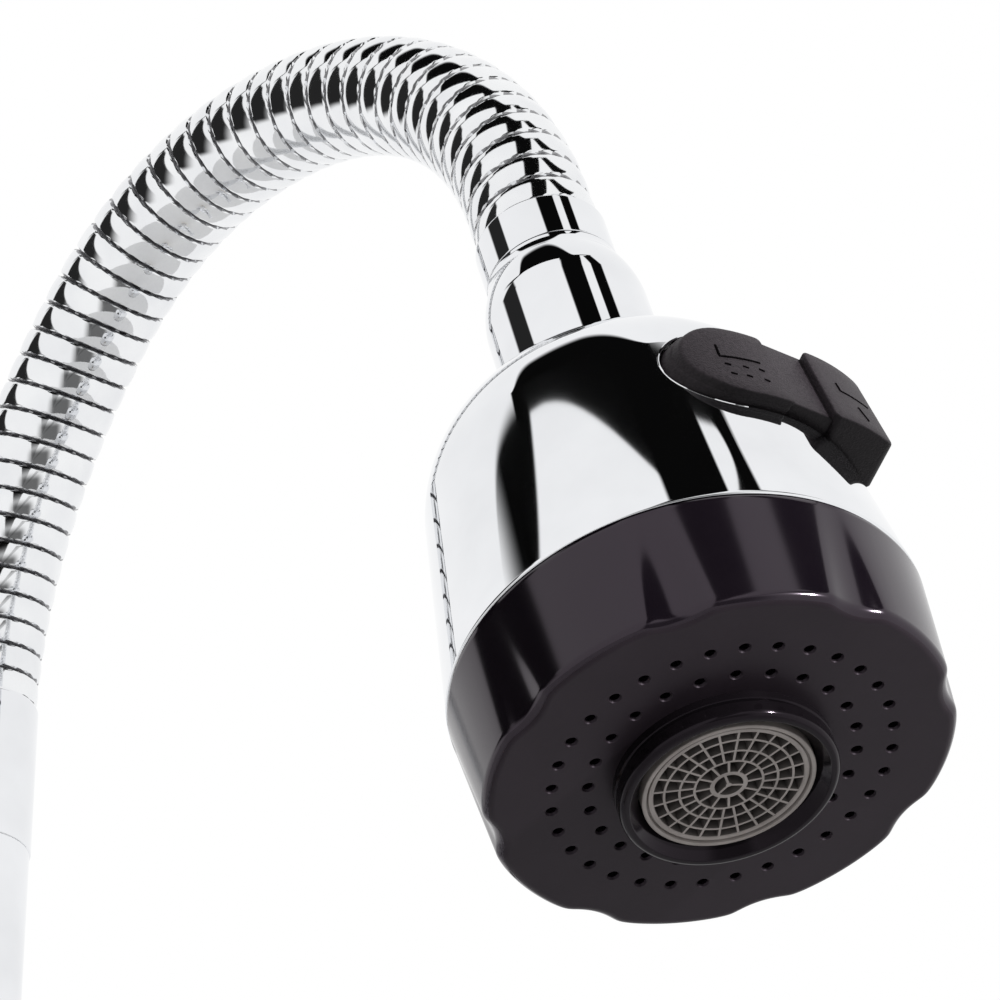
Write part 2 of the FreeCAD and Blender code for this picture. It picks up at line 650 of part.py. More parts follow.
def bell_radius(offset, height):
    """Radius of the bell's straight side at a height."""
    foot, corner, top = bell_outline(offset)
    return foot[0] + (corner[0] - foot[0]) * (height - foot[1]) / (corner[1] - foot[1])


def bell_solid(offset, foot_z):
    """The bell's outer form as a solid, grown or shrunk by an offset and reaching down to a foot."""
    foot, corner, top = bell_outline(offset)
    solid = revolve([(0, foot_z), (bell_radius(offset, foot_z), foot_z), corner, top, (0, top[1])])
    edge = [e for e in solid.Edges if isinstance(e.Curve, Part.Circle)
            and abs(e.Curve.Radius - corner[0]) < NEAR and len(e.Vertexes) == 1]
    return solid.makeFillet(BELL_ROUND + offset, edge)


def make_cap():
    collar_top = CAP_TOP + CAP_COLLAR_H
    collar_r = bell_radius(-BELL_WALL, collar_top) - SEAT_GAP
    hole = AERATOR_THREAD_R + SEAT_GAP
    bend = CAP_EDGE * (1 - math.sqrt(0.5))
    cap = revolve([
        (hole, 0), (CAP_RIM_R - CAP_EDGE, 0), ((CAP_RIM_R - bend, bend), (CAP_RIM_R, CAP_EDGE)),
        (CAP_TOP_R, CAP_TOP), (collar_r, CAP_TOP), (collar_r, collar_top), (CAP_BORE_R, collar_top),
        (CAP_BORE_R, FACE_T), (hole, FACE_T)])
    low_x = CAP_RIM_R - NOTCH_DEPTH + NOTCH_R
    high_x = CAP_RIM_R + (CAP_TOP_R - CAP_RIM_R) * NOTCH_LENGTH / CAP_TOP + NOTCH_R
    past_x = NOTCH_PAST * (high_x - low_x) / NOTCH_LENGTH
    notch = cross_rod(NOTCH_R, Vector(low_x - past_x, 0, -NOTCH_PAST),
                      Vector(high_x + past_x, 0, NOTCH_LENGTH + NOTCH_PAST))
    cuts = around(notch, NOTCH_COUNT, NOTCH_PHASE)
    for radius, count, phase in ((OUTER_RING_R, OUTER_RING_COUNT, OUTER_RING_PHASE),
                                 (INNER_RING_R, INNER_RING_COUNT, INNER_RING_PHASE)):
        cuts += around(rod(SPRAY_HOLE_R, -PAST, FACE_T + PAST, radius), count, phase)
    keep("spray_cap", cap.cut(cuts), HEAD)


def make_aerator():
    boss_low = -BOSS_OUT
    insert_low = boss_low + INSERT_RECESS
    insert_top = insert_low + INSERT_H
    seat = insert_top + AERATOR_SEAL_T
    pocket = INSERT_R + SEAT_GAP
    ledge = INSERT_R - INSERT_LEDGE
    bend = AERATOR_ROUND * (1 - math.sqrt(0.5))
    keep("aerator_housing", revolve([
        (pocket, boss_low), (AERATOR_R - AERATOR_ROUND, boss_low),
        ((AERATOR_R - bend, boss_low + bend), (AERATOR_R, boss_low + AERATOR_ROUND)),
        (AERATOR_R, AERATOR_GROOVE_Z - AERATOR_GROOVE_HALF),
        (AERATOR_R - AERATOR_GROOVE_DEPTH, AERATOR_GROOVE_Z),
        (AERATOR_R, AERATOR_GROOVE_Z + AERATOR_GROOVE_HALF), (AERATOR_R, 0), (AERATOR_THREAD_R, 0),
        (AERATOR_THREAD_R, AERATOR_TOP), (ledge, AERATOR_TOP), (ledge, seat), (pocket, seat)]), HEAD)
    rim_in = INSERT_R - INSERT_WALL
    grid_low = insert_low + GRID_SINK
    grid_top = grid_low + GRID_H
    half = GRID_WALL / 2
    rim = ring(INSERT_R, rim_in, insert_low, insert_top)
    bars = [ring(radius + half, radius - half, grid_low, grid_top) for radius in GRID_RINGS]
    stops = (0.0,) + GRID_RINGS + (rim_in + half,)
    for count, inner, outer in zip(GRID_SPOKES, stops[:-1], stops[1:]):
        spoke = block((inner, outer), (-half, half), (grid_low, grid_top))
        bars += around(spoke, count, 180.0 / count)
    keep("aerator_insert", rim.fuse(bars).removeSplitter(), HEAD)
    keep("aerator_seal", ring(INSERT_R, INSERT_R - AERATOR_SEAL_WALL, insert_top, seat), HEAD)


# Selector rocker, bell and valve

ROCKER_PIVOT_X = bell_radius(0, ROCKER_Z) - ROCKER_PIVOT_DEPTH
TONGUE_ARM = ROCKER_PIVOT_X - TONGUE_TIP_X
EAR_GAP = ROCKER_HUB_H / 2 + FREE_GAP
WIDE = 2 * CAP_TOP_R


def rocker_form(grow):
    """The rocker's upright outline, pushed outwards along X: round on the left and square on the right."""
    half = ROCKER_H / 2 + grow
    low = ROCKER_Z - half
    high = ROCKER_Z + half
    left = -ROCKER_LEFT - grow
    right = ROCKER_RIGHT + grow
    edges = outline_edges([
        (left + half, low), (right, low), (right, high), (left + half, high),
        ((left, ROCKER_Z), (left + half, low))])
    face = Part.Face(Part.Wire(edges))
    face.rotate(ORIGIN, Z_AXIS, 90)
    return face.extrude(Vector(WIDE, 0, 0))


def bell_layer(proud, depth):
    return bell_solid(proud, BELL_FOOT).cut(bell_solid(-depth, BELL_FOOT - PAST))


def make_rocker():
    form = rocker_form(0)
    pivot = Vector(ROCKER_PIVOT_X, 0, 0)
    half = ROCKER_H / 2
    low = ROCKER_Z - half
    high = ROCKER_Z + half
    tall = (BELL_FOOT, BELL_TOP)
    pads = bell_layer(ROCKER_PROUD, PAD_DEPTH).common(form)
    shoulder = ROCKER_LEFT - half
    round_end = revolve([(0, low), (shoulder, low), ((ROCKER_LEFT, ROCKER_Z), (shoulder, high)), (0, high)])
    round_end.translate(pivot)
    square_end = rod(ROCKER_RIGHT, low, high, ROCKER_PIVOT_X)
    left = pads.common(block((0, WIDE), (-WIDE, -SADDLE_LEFT), tall)).common(round_end)
    right = pads.common(block((0, WIDE), (SADDLE_RIGHT, WIDE), tall)).common(square_end)
    right.rotate(pivot, Z_AXIS, -ROCKER_TILT)
    saddle_run = (-SADDLE_LEFT - SADDLE_LAP_LEFT, SADDLE_RIGHT + SADDLE_LAP_RIGHT)
    saddle = bell_layer(SADDLE_PROUD, SADDLE_DEPTH).common(form).common(block((0, WIDE), saddle_run, tall))
    hub_run = (ROCKER_Z - ROCKER_HUB_H / 2, ROCKER_Z + ROCKER_HUB_H / 2)
    hub = rod(ROCKER_HUB_R, hub_run[0], hub_run[1], ROCKER_PIVOT_X)
    web = block((ROCKER_PIVOT_X, bell_radius(0, ROCKER_Z) - WEB_SINK), (-WEB_HALF, WEB_HALF), hub_run)
    tongue = block((TONGUE_TIP_X, ROCKER_PIVOT_X), (-TONGUE_HALF, TONGUE_HALF),
                   (ROCKER_Z - TONGUE_H / 2, ROCKER_Z + TONGUE_H / 2))
    tongue.rotate(pivot, Z_AXIS, -ROCKER_TILT / 2)
    pin_hole = rod(ROCKER_PIN_R + RUN_GAP, BELL_FOOT, BELL_TOP, ROCKER_PIVOT_X)
    rocker = left.fuse([right, saddle, hub, web, tongue]).cut(pin_hole)
    keep("selector_rocker", rocker.removeSplitter(), HEAD)


def make_bell():
    shell = bell_solid(0, BELL_FOOT).cut(bell_solid(-BELL_WALL, BELL_FOOT - PAST))
    shell = shell.cut(rod(CORE_NECK_R + FREE_GAP, CORE_SHOULDER, BELL_TOP + PAST))
    keep("bell_shell", shell.cut(rocker_form(WINDOW_GAP)), HEAD)


def pin_ear(low):
    """A round-nosed lug on the core that holds one end of the rocker's pin."""
    root = CORE_R - EAR_ROOT
    nose = ROCKER_PIVOT_X
    edges = outline_edges([
        (root, -EAR_HALF), (nose, -EAR_HALF), ((nose + EAR_HALF, 0), (nose, EAR_HALF)), (root, EAR_HALF)])
    face = Part.Face(Part.Wire(edges))
    face.rotate(ORIGIN, X_AXIS, 90)
    face.translate(Vector(0, 0, low))
    return face.extrude(Vector(0, 0, EAR_T))


def make_core():
    core = revolve([
        (0, CORE_FOOT), (CORE_R, CORE_FOOT), (CORE_R, CORE_PLATE_Z), (CORE_PLATE_R, CORE_PLATE_Z),
        (CORE_PLATE_R, CORE_PLATE_TOP), (MANIFOLD_R, CORE_PLATE_TOP), (MANIFOLD_R, MANIFOLD_TOP),
        (CORE_R, MANIFOLD_TOP + MANIFOLD_SLOPE), (CORE_R, CORE_SHOULDER),
        (CORE_NECK_R, CORE_SHOULDER + CORE_SHOULDER_SLOPE), (CORE_NECK_R, CORE_NECK_TOP), (0, CORE_NECK_TOP)])
    core = core.fuse([pin_ear(ROCKER_Z - EAR_GAP - EAR_T), pin_ear(ROCKER_Z + EAR_GAP)])
    seal_z = (CORE_PLATE_Z + CORE_PLATE_TOP) / 2
    seal_room = (seal_z - FACE_SEAL_R, seal_z + FACE_SEAL_R)
    seal_r = CAP_BORE_R - FACE_SEAL_R - SEAT_GAP
    tongue_y = SPOOL_R + SPOOL_SLOT_HALF
    tongue_z = TONGUE_H / 2 + FREE_GAP
    side_y = SPOOL_R + SIDE_WAY_OUT
    spray_y = CORE_R + SPRAY_WAY_OUT
    cross_z = MANIFOLD_TOP - MANIFOLD_ROOF
    plug_r = SPOOL_PLUG_R + THREAD_GAP
    plug_y = CORE_R - SPOOL_PLUG_T - SEAT_GAP
    cuts = [
        ring(CORE_PLATE_R + PAST, seal_r - FACE_SEAL_R - SEAT_GAP, seal_room[0], seal_room[1]),
        rod(AERATOR_THREAD_R + THREAD_GAP, CORE_FOOT - PAST, AERATOR_TOP + SEAT_GAP),
        rod(HEAD_BORE_R, ROCKER_Z, CORE_NECK_TOP + PAST),
        side_rod(SPOOL_R + RUN_GAP, -CORE_R - PAST, CORE_R + PAST, ROCKER_Z),
        side_rod(plug_r, plug_y, CORE_R + PAST, ROCKER_Z),
        side_rod(plug_r, -plug_y, -CORE_R - PAST, ROCKER_Z),
        rod(WATERWAY_R, AERATOR_TOP - PAST, ROCKER_Z, 0, -side_y),
        rod(SPRAY_WAY_R, CORE_PLATE_Z - PAST, cross_z + PAST, 0, spray_y),
        side_rod(SPRAY_WAY_R, side_y, spray_y, cross_z),
        rod(SPRAY_WAY_R, cross_z, ROCKER_Z, 0, side_y),
        block((0, CORE_R + PAST), (-tongue_y, tongue_y), (ROCKER_Z - tongue_z, ROCKER_Z + tongue_z)),
        rod(ROCKER_PIN_R, BELL_FOOT, BELL_TOP, ROCKER_PIVOT_X),
        rod(ROCKER_HUB_R + FREE_GAP, ROCKER_Z - EAR_GAP, ROCKER_Z + EAR_GAP, ROCKER_PIVOT_X)]
    keep("diverter_core", core.cut(cuts).removeSplitter(), HEAD)
    keep("face_seal", o_ring(seal_r, FACE_SEAL_R, seal_z), HEAD)
    pin_half = EAR_GAP + EAR_T
    keep("rocker_pin", rod(ROCKER_PIN_R, ROCKER_Z - pin_half, ROCKER_Z + pin_half, ROCKER_PIVOT_X), HEAD)


def make_spool():
    shift = TONGUE_ARM * math.sin(math.radians(ROCKER_TILT / 2))
    half = CORE_R - SEAT_GAP - SPOOL_PLUG_T - shift - SPOOL_END_ROOM
    past_r = SPOOL_R + PAST
    slot = block((SPOOL_SLOT_FLOOR, past_r), (-SPOOL_SLOT_HALF, SPOOL_SLOT_HALF), (-past_r, past_r))
    spool = side_rod(SPOOL_R, -half, half, 0).cut(slot)
    seat_r = SPOOL_R - SPOOL_SEAL_R
    groove = SPOOL_SEAL_R + SEAT_GAP
    seals = []
    for share in SPOOL_SEAL_SHARES:
        middle = share * half
        seal = o_ring(seat_r, SPOOL_SEAL_R, middle)
        seal.rotate(ORIGIN, X_AXIS, -90)
        seals.append(seal)
        outer = side_rod(past_r, middle - groove, middle + groove, 0)
        spool = spool.cut(outer.cut(side_rod(seat_r - groove, middle - groove, middle + groove, 0)))
    move = HEAD.multiply(Placement(Vector(0, shift, ROCKER_Z), Rotation()))
    keep("diverter_spool", spool, move)
    keep("spool_seals", Part.makeCompound(seals), move)
    plug_y = CORE_R - SEAT_GAP
    plug_in = plug_y - SPOOL_PLUG_T
    plugs = [side_rod(SPOOL_PLUG_R, side * plug_y, side * plug_in, ROCKER_Z) for side in (1, -1)]
    keep("spool_plugs", Part.makeCompound(plugs), HEAD)


# Nut and ferrule between head and neck

def make_head_joint():
    washer_top = CORE_NECK_TOP + NUT_WASHER_T
    flange_low = washer_top + SEAT_GAP
    flange_top = flange_low + SPIGOT_FLANGE_T
    flange_r = CORE_NECK_R - SPIGOT_FLANGE_INSET
    bore = CORE_NECK_R + THREAD_GAP
    hole = SPIGOT_R + RUN_GAP
    keep("head_nut", revolve([
        (bore, HEAD_NUT_FOOT), (HEAD_NUT_R - HEAD_NUT_BEVEL_R, HEAD_NUT_FOOT),
        (HEAD_NUT_R, HEAD_NUT_FOOT + HEAD_NUT_BEVEL_H), (HEAD_NUT_R, HEAD_NUT_BEND),
        ((HEAD_NUT_R - HEAD_NUT_SWELL_R, HEAD_NUT_TOP - HEAD_NUT_SWELL_H), (HEAD_NUT_TOP_R, HEAD_NUT_TOP)),
        (hole, HEAD_NUT_TOP), (hole, flange_top + SEAT_GAP), (bore, flange_top + SEAT_GAP)]), HEAD)
    keep("nut_washer", ring(CORE_NECK_R - NUT_WASHER_INSET, HEAD_BORE_R, CORE_NECK_TOP, washer_top), HEAD)
    keep("upper_ferrule", revolve([
        (SPIGOT_BORE_R, flange_low), (flange_r, flange_low), (flange_r, flange_top), (SPIGOT_R, flange_top),
        (SPIGOT_R, UPPER_FERRULE_LOW), (UPPER_FERRULE_R, UPPER_FERRULE_LOW),
        (UPPER_FERRULE_R, HEAD_STACK - UPPER_BEVEL_H), (UPPER_FERRULE_R - UPPER_BEVEL_R, HEAD_STACK),
        (SPIGOT_BORE_R, HEAD_STACK)]), HEAD)


make_neck()
make_mounting()
make_body()
make_stem()
make_cartridge()
make_spindle()
make_lever()
make_cap()
make_aerator()
make_bell()
make_core()
make_rocker()
make_spool()
make_head_joint()

os.makedirs("parts", exist_ok=True)
for name, shape in nodes.items():
    shape.exportStep(os.path.join("parts", name + ".step"))
    print(name, "valid" if shape.isValid() else "INVALID", len(shape.Solids), round(shape.Volume, 1))
print("head origin", face_centre, "tilt", HEAD_TILT)
for span, arc in neck_arcs.items():
    print(span, "start", arc.point(0), "middle", arc.point(0.5), "end", arc.point(1), "length", arc.length())
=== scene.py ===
from math import asin, atan2, ceil, cos, hypot, pi, radians, sin, sqrt, tan

import bmesh
import bpy
from mathutils import Matrix, Vector


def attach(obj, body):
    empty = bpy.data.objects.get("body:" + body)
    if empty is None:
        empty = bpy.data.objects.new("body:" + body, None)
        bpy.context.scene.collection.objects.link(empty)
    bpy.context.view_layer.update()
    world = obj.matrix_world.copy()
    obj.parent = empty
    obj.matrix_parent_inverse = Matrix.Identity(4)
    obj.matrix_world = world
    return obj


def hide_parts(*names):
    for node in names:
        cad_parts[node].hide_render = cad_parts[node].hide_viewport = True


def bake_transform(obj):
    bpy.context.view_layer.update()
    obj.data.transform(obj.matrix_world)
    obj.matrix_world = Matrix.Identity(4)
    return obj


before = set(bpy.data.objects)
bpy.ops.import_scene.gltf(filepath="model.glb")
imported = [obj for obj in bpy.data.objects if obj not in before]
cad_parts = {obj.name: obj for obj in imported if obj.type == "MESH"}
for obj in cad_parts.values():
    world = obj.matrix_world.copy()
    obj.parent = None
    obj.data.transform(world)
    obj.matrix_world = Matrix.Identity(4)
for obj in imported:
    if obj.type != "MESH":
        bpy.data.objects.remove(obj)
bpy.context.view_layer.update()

# Kitchen faucet with a bendable ribbed neck and a spray head. Sizes are in millimetres, apart from the
# studio's, and become metres as each mesh is made. A turned outline is a list of (radius, height) points, and
# a third value rounds that corner.
MM = 0.001
TURN = 2 * pi
QUARTER = pi / 2
WELD = 1e-6  # metres: points closer than this are one
SHARP = radians(32)
ROUND_STEP = radians(9)
ROUND_LEAST = 3  # fewest steps round a corner
LONG_RUN = 1.2  # a straight run longer than this gets a support point near each end
SUPPORT = 0.1
LATHE_SEGMENTS = 256
HEAD_SEGMENTS = 512
BORE_SEGMENTS = 96
PIN_SEGMENTS = 48
BEAD_SIDES = 10

# Neck
NECK_FOOT_Z = 215.0
NECK_SPANS = (("lower", 90.6, 42.1), ("arch", 47.1, 41.3), ("tip", 56.5, 77.8))  # radius and degrees
NECK_BODIES = ("riser", "neck_arch", "neck_tip", "hose_end")
BEND_SHARE = 0.09  # share of a span at each end
HOSE_R = 8.44
HOSE_BORE_R = 6.2
RIB_PITCH = 4.2
RIB_ROWS = 22  # rings per rib
PLAIN_ROWS = 2  # rings per rib where there is no relief
HOSE_SEGMENTS = 72
TUBE_SEGMENTS = 48
GROOVE_HALF = 0.085  # share of the pitch
GROOVE_DEPTH = 1.0
CROWN_DROP = 0.15  # how far a rib's crown falls towards its groove
GROOVE_SHADE_FROM = HOSE_BORE_R + 0.5  # a groove gets painted shade, a darker and rougher steel, between these distances from the hose's middle
GROOVE_SHADE_TO = HOSE_R - 0.4
TUBE_R = 5.4
TUBE_BORE_R = 4.0
END_BORE_R = 4.6  # of the last turns, on the ferrule
END_OVERLAP = 0.4  # how far the last turns run into the ferrule's collar

# Spray head, in its own frame: origin in the middle of the spray face, +Z towards the hose
HEAD_STACK = 100.9
BELL_FOOT = 16.4
BELL_FOOT_ROUND = 0.35
BELL_TOP = 61.7
BELL_SLOPE = atan2(5.5, 39.7)
BELL_LEAN = atan2(5.6, 11.0)
BELL_ROUND = 17.6
BELL_ROUND_AT = (8.727, 44.584)  # middle of the shoulder's round
BELL_ROUND_STEPS = 56
BELL_WALL = 2.0
BELL_HOLE_R = 9.25
BELL_HOLE_ROUND = 0.3
COLLAR_R = 9.0  # the upper ferrule, as it shows above the nut
COLLAR_FOOT = 86.65
COLLAR_END = 93.8
NUT_END = COLLAR_FOOT - 0.2
NUT_INSIDE = [(6.58, NUT_END), (6.58, 79.1), (9.0, 79.1)]
NUT_FOOT = [(9.0, 61.9), (10.4, 61.9, 0.15), (10.95, 62.5, 0.3)]
NUT_SHOULDER = (9.4, 84.6)
NUT_DOME = ((10.85, 78.2), (10.5, 81.3), NUT_SHOULDER)  # arcs through three points
NUT_COVE = (NUT_SHOULDER, (9.1, 85.5), (COLLAR_R, NUT_END))
NUT_DOME_STEPS = 28
NUT_COVE_STEPS = 20
UPPER_FERRULE = [
    (4.5, 76.0), (8.4, 76.0), (8.4, 79.0), (6.5, 79.0), (6.5, COLLAR_FOOT), (COLLAR_R, COLLAR_FOOT, 0.12),
    (COLLAR_R, COLLAR_END, 0.35), (7.0, COLLAR_END), (4.5, COLLAR_END)]
CAP_TOP = 16.2
CAP_TOP_R = 30.4
CAP_TOP_BEVEL = 0.4
CAP_RIM_R = 29.5
CAP_EDGE = 1.4
CAP_EDGE_STEPS = 14
CAP_SKIRT_STEPS = 39
CAP_HOLE_R = 12.65
CAP_SEGMENTS = 576
FACE_T = 2.6
CAP_FACE = [(CAP_HOLE_R, 0.2), (CAP_HOLE_R + 0.2, 0.0), (15.0, 0.0), (20.0, 0.0), (24.6, 0.0), (25.2, 0.0)]
CAP_INSIDE = [
    (CAP_TOP_R - 0.12, CAP_TOP - 0.12), (CAP_TOP_R - CAP_TOP_BEVEL, CAP_TOP), (27.8, CAP_TOP), (27.8, 20.0),
    (25.25, 20.0), (25.25, FACE_T), (CAP_HOLE_R, FACE_T)]
FACE_FINISH = 0.25  # height below which the cap has the face's finish
NOTCH_COUNT = 8
NOTCH_PHASE = radians(34.8)
NOTCH_R = 9.0
NOTCH_AT = 37.4
NOTCH_LEAN = 0.13  # how far a notch's axis leans outwards per millimetre of height
NOTCH_SOFT = 0.5
NOTCH_NONE = -3.0  # depth far from a notch, before softening
NOTCH_EVEN = 0.02  # what softening adds there
SPRAY_RINGS = ((21.25, 32, 6.85), (16.7, 24, 5.2))  # radius, count and first angle
HOLE_R = 0.62
HOLE_ROWS = ((1.0, -0.25), (HOLE_R, 0.3), (HOLE_R, FACE_T + 0.5))  # a flared mouth, then straight
HOLE_SIDES = 18
AERATOR_BOSS = [
    (11.0, -2.0), (12.5, -3.8, 0.2), (13.7, -3.8, 0.8), (13.7, -1.6), (13.2, -1.3), (13.7, -1.0), (13.7, 0.0),
    (12.55, 0.0), (12.55, 14.0), (9.2, 14.0), (9.2, 4.2), (11.0, 4.2)]
AERATOR_RIM = [
    (9.4, -2.7, 0.15), (9.95, -2.7, 0.1), (10.0, -2.3), (10.2, -2.3), (10.25, -2.9, 0.12), (10.8, -2.9, 0.15),
    (10.8, 2.6), (9.4, 2.6)]
GRID_PLATE = (0, 9.6, -2.6, 2.4)  # inner and outer radius, low and high
GRID_CELLS = ((3, 0.35, 1.8), (12, 2.35, 4.1), (24, 4.4, 5.95), (24, 6.25, 7.85), (24, 8.15, 9.34))
GRID_HALF = 0.15  # half of a spoke
CELL_STEPS = 8
CELL_CUT = 3.5
CELL_WALL_LEAN = 0.3  # a face whose normal has less of the axis in it is a cell's wall, which gets painted shade

# Selector rocker, in the head's frame: X outwards, Y along the rocker
ROCKER_Z = 41.4
ROCKER_HALF = 6.9
ROCKER_LEFT = 16.1
ROCKER_RIGHT = 16.6
ROCKER_TILT = radians(23.0)
PIN_X = 19.2365
PAD_RISE = 2.0
PAD_DEPTH = 6.0
PAD_BACK = 1.5  # how far behind the pin a pad's foot may reach
CREASE_Y = -3.5
CREASE_DROP = 0.35
CREASE_CORNER = 0.5
STEP_Y = 6.8
STEP_DROP = 0.7
RIGHT_CORNERS = (1.2, 0.9)  # at the end and at the step
SADDLE_END = 5.0
SADDLE_UNDER = 1.2  # how far the saddle runs back under the left pad
SADDLE_NARROW = 0.6
SADDLE_CORNER = 0.2
CORNER_STEPS = 14
EDGE_STEPS = 10
LEFT_ROWS = ((0.0, -PAD_DEPTH), (0.0, 0.7), (0.04, 0.82), (0.16, 0.9), (0.2, 1.0), (0.2, 1.7), (0.24, 1.85),
             (0.34, 1.95), (0.55, PAD_RISE))  # inset and rise, up the wall and over the edge
RIGHT_ROWS = ((0.0, -PAD_DEPTH), (0.0, 1.65), (0.05, 1.82), (0.16, 1.93), (0.4, PAD_RISE))
SADDLE_ROWS = ((0.0, -1.5), (0.0, 1.75), (0.06, 1.88), (0.16, 1.96), (0.35, PAD_RISE))
FOOT_SHARES = (0.02, 0.5)  # sizes of the rings that close a pad's foot
CROWN_SHARES = (0.75, 0.5, 0.25, 0.02)
ROCKER_WEB = ((PIN_X + 2.4, 26.5), (-2.6, 2.6), (ROCKER_Z - 4.6, ROCKER_Z + 4.6))
TONGUE = ((2.6, PIN_X - 2.4), (-1.5, 1.5), (ROCKER_Z - 1.5, ROCKER_Z + 1.5))
ROCKER_EYE = (1.58, 3.2, ROCKER_Z - 4.7, ROCKER_Z + 4.7)
WINDOW_GAP = 0.5
WINDOW_END_GAP = 0.3
WINDOW_SIDE_STEPS = 24
WINDOW_BEND_STEPS = 40
WINDOW_END_STEPS = 16
WINDOW_CUT = (8.0, 45.0)
LIP_END_Y = -9.0
LIP_R = 0.18
LIP_SINK = 0.12
SPRAY_SIGN = ([(-11.2, 44.0), (-11.5, 41.7), (-6.1, 41.7)],
              [(-11.1, 40.1), (-8.8, 40.0), (-6.5, 40.1), (-11.0, 38.2), (-9.0, 38.1), (-6.6, 38.0)])
STREAM_SIGN = ([(10.0, 42.9), (10.1, 41.3), (14.9, 41.2)], [(12.1, 39.1), (12.9, 36.8)])
DROP_HALF = (0.35, -0.1)
SIGN_R = 0.24
SIGN_RISE = PAD_RISE - 0.12
SIGN_STEP = 0.4

# Base
COLLAR_LOW = 106.0
SWIVEL_FOOT = [(8.68, COLLAR_LOW), (16.0, COLLAR_LOW, 0.25)]
SWIVEL_SWEEP = ((15.6, 111.0), (13.6, 116.6), (11.0, 120.0))
SWIVEL_TOP = [(11.0, 120.0, 0.4), (8.68, 120.0)]
STEM_R = 8.6
STEM_BORE_R = 5.0
SPIGOT_LOW = 196.0
STEM = [  # with the grooves of two O-rings
    (STEM_BORE_R, 84.3), (11.97, 84.3), (11.97, 88.1), (9.7, 88.1), (9.7, 90.5), (11.97, 90.5), (11.97, 96.1),
    (9.7, 96.1), (9.7, 98.5), (11.97, 98.5), (11.97, 102.3), (STEM_R, 102.3), (STEM_R, SPIGOT_LOW),
    (6.1, SPIGOT_LOW), (6.1, 212.0), (STEM_BORE_R, 212.0)]
LOWER_FERRULE = [
    (6.15, SPIGOT_LOW), (8.8, SPIGOT_LOW, 0.3), (8.8, 218.6, 0.15), (8.62, 219.0), (8.54, 219.0),
    (8.54, NECK_FOOT_Z), (STEM_BORE_R, NECK_FOOT_Z), (STEM_BORE_R, 212.1), (6.15, 212.1)]
BODY_FOOT = 6.5
BODY_R = 22.5
BODY_TOP_R = 16.0
BODY_FLARE = ((24.5, BODY_FOOT), (23.0, 14.0), (BODY_R, 20.0))
BODY_SHOULDER = ((BODY_R, 86.0), (20.5, 96.0), (BODY_TOP_R, COLLAR_LOW))
FLANGE = [(16.8, 1.5), (25.1, 1.5), (25.1, 0.1), (27.0, 0.1, 0.3), (27.0, BODY_FOOT, 2.0), (16.8, BODY_FOOT)]
CART_Z = 62.0
PIVOT_A = 26.0
BOSS_R = 21.0
BOSS_END = 38.0
BODY_BOSS = [(0, 0), (BOSS_R, 0), (BOSS_R, BOSS_END, 0.4), (0, BOSS_END)]
SHANK_SOCKET = (16.55, 0, 14.5)  # radius, low and high of the body's bores
STEM_SOCKET = (12.05, 84.0, 110.0)
CART_SOCKET = (17.3, 5.0, 42.0)
BONNET_R = 24.187
BONNET_WALL = 2.0
BONNET_HOLE_R = 9.5
SHANK_LOW = -55.0
SHANK_TOP = 14.4
SHANK_R = 16.5
SHANK_BORE_R = 13.6
SHANK_SEGMENTS = 72
THREAD_PITCH = 2.0
THREAD_ROWS = 8  # rings per turn
THREAD_DEPTH = 0.7
THREAD_RUNOUT = 2.5
RUNOUT_DROP = 0.5  # share of the depth by which the thread's ends are turned down
SWEEP_STEPS = 24
SHOULDER_STEPS = 28

# Lever
HUB_HOLLOW_R = 24.687
HUB_LIP_R = 18.4
HUB_BORE_R = 4.05
HUB_RIM = 16.497
HUB_ROOF = [(0, 31.6), (HUB_BORE_R, 31.6)]
HUB_FOOT = [(HUB_LIP_R, HUB_RIM), (19.6, HUB_RIM + 1.5, 0.3)]
HUB_CROWN = 33.997
HUB_SWELL = ((19.6, HUB_RIM + 7.0), (16.6, HUB_CROWN - 3.6), (9.6, HUB_CROWN))
PLUG_BORE = (3.05, 13.0, 22.0)
ARM_RISE = HUB_RIM + 10.0
ARM_LEAN = radians(-20)
LEVER_LEAN = radians(-79)
LEVER_SECTIONS = ((8.0, 20.0, 11.0), (44.1, 14.0, 8.0), (98.0, 16.0, 5.0))  # reach, width and thickness
LEVER_TIP_ROUND = 3.0
ARM_STEPS = 48
ARM_TIP_STEPS = 10
ARM_SIDES = 32
ARM_LEAST = 0.15  # half of its thickness at the very tip
ARM_TIP_THIN = 0.8  # share of the tip's round that its thickness follows

# Studio, in metres
CAMERA_AT = Vector((0.4915, -0.3812, -0.1022))
VIEW = Vector((-0.6146, 0.61, 0.5)).normalized()
VIEW_RIGHT = Vector((0.7044, 0.7097, 0.0))
RIGHT = (VIEW_RIGHT - VIEW_RIGHT.dot(VIEW) * VIEW).normalized()
ABOVE = RIGHT.cross(VIEW)
LENS = 172.8
SENSOR = 36.0
CLIP_START = 0.01
LAMP_SOFT = 0.02
ROCKER_LAMPS = (("rocker_key", (0.6, 0.3, 0.74), 24.0), ("rocker_fill", (0.0, -0.75, 0.66), 7.0))
ROCKER_LAMP_AT = Vector((26.0, 0.0, ROCKER_Z))  # millimetres, in the head's frame
ROCKER_LAMP_AWAY = 0.35
ROCKER_LAMP_CONE = radians(9)
ROCKER_LAMP_BLEND = 0.6
STROBE_TOWARDS = Vector((0.975, 0.03, 0.22)).normalized()
STROBE_AWAY = 0.7
STROBE_POWER = 40.0
FLOOR_R = 0.42
FLOOR_Z = SHANK_LOW * MM
FLOOR_SIDES = 128

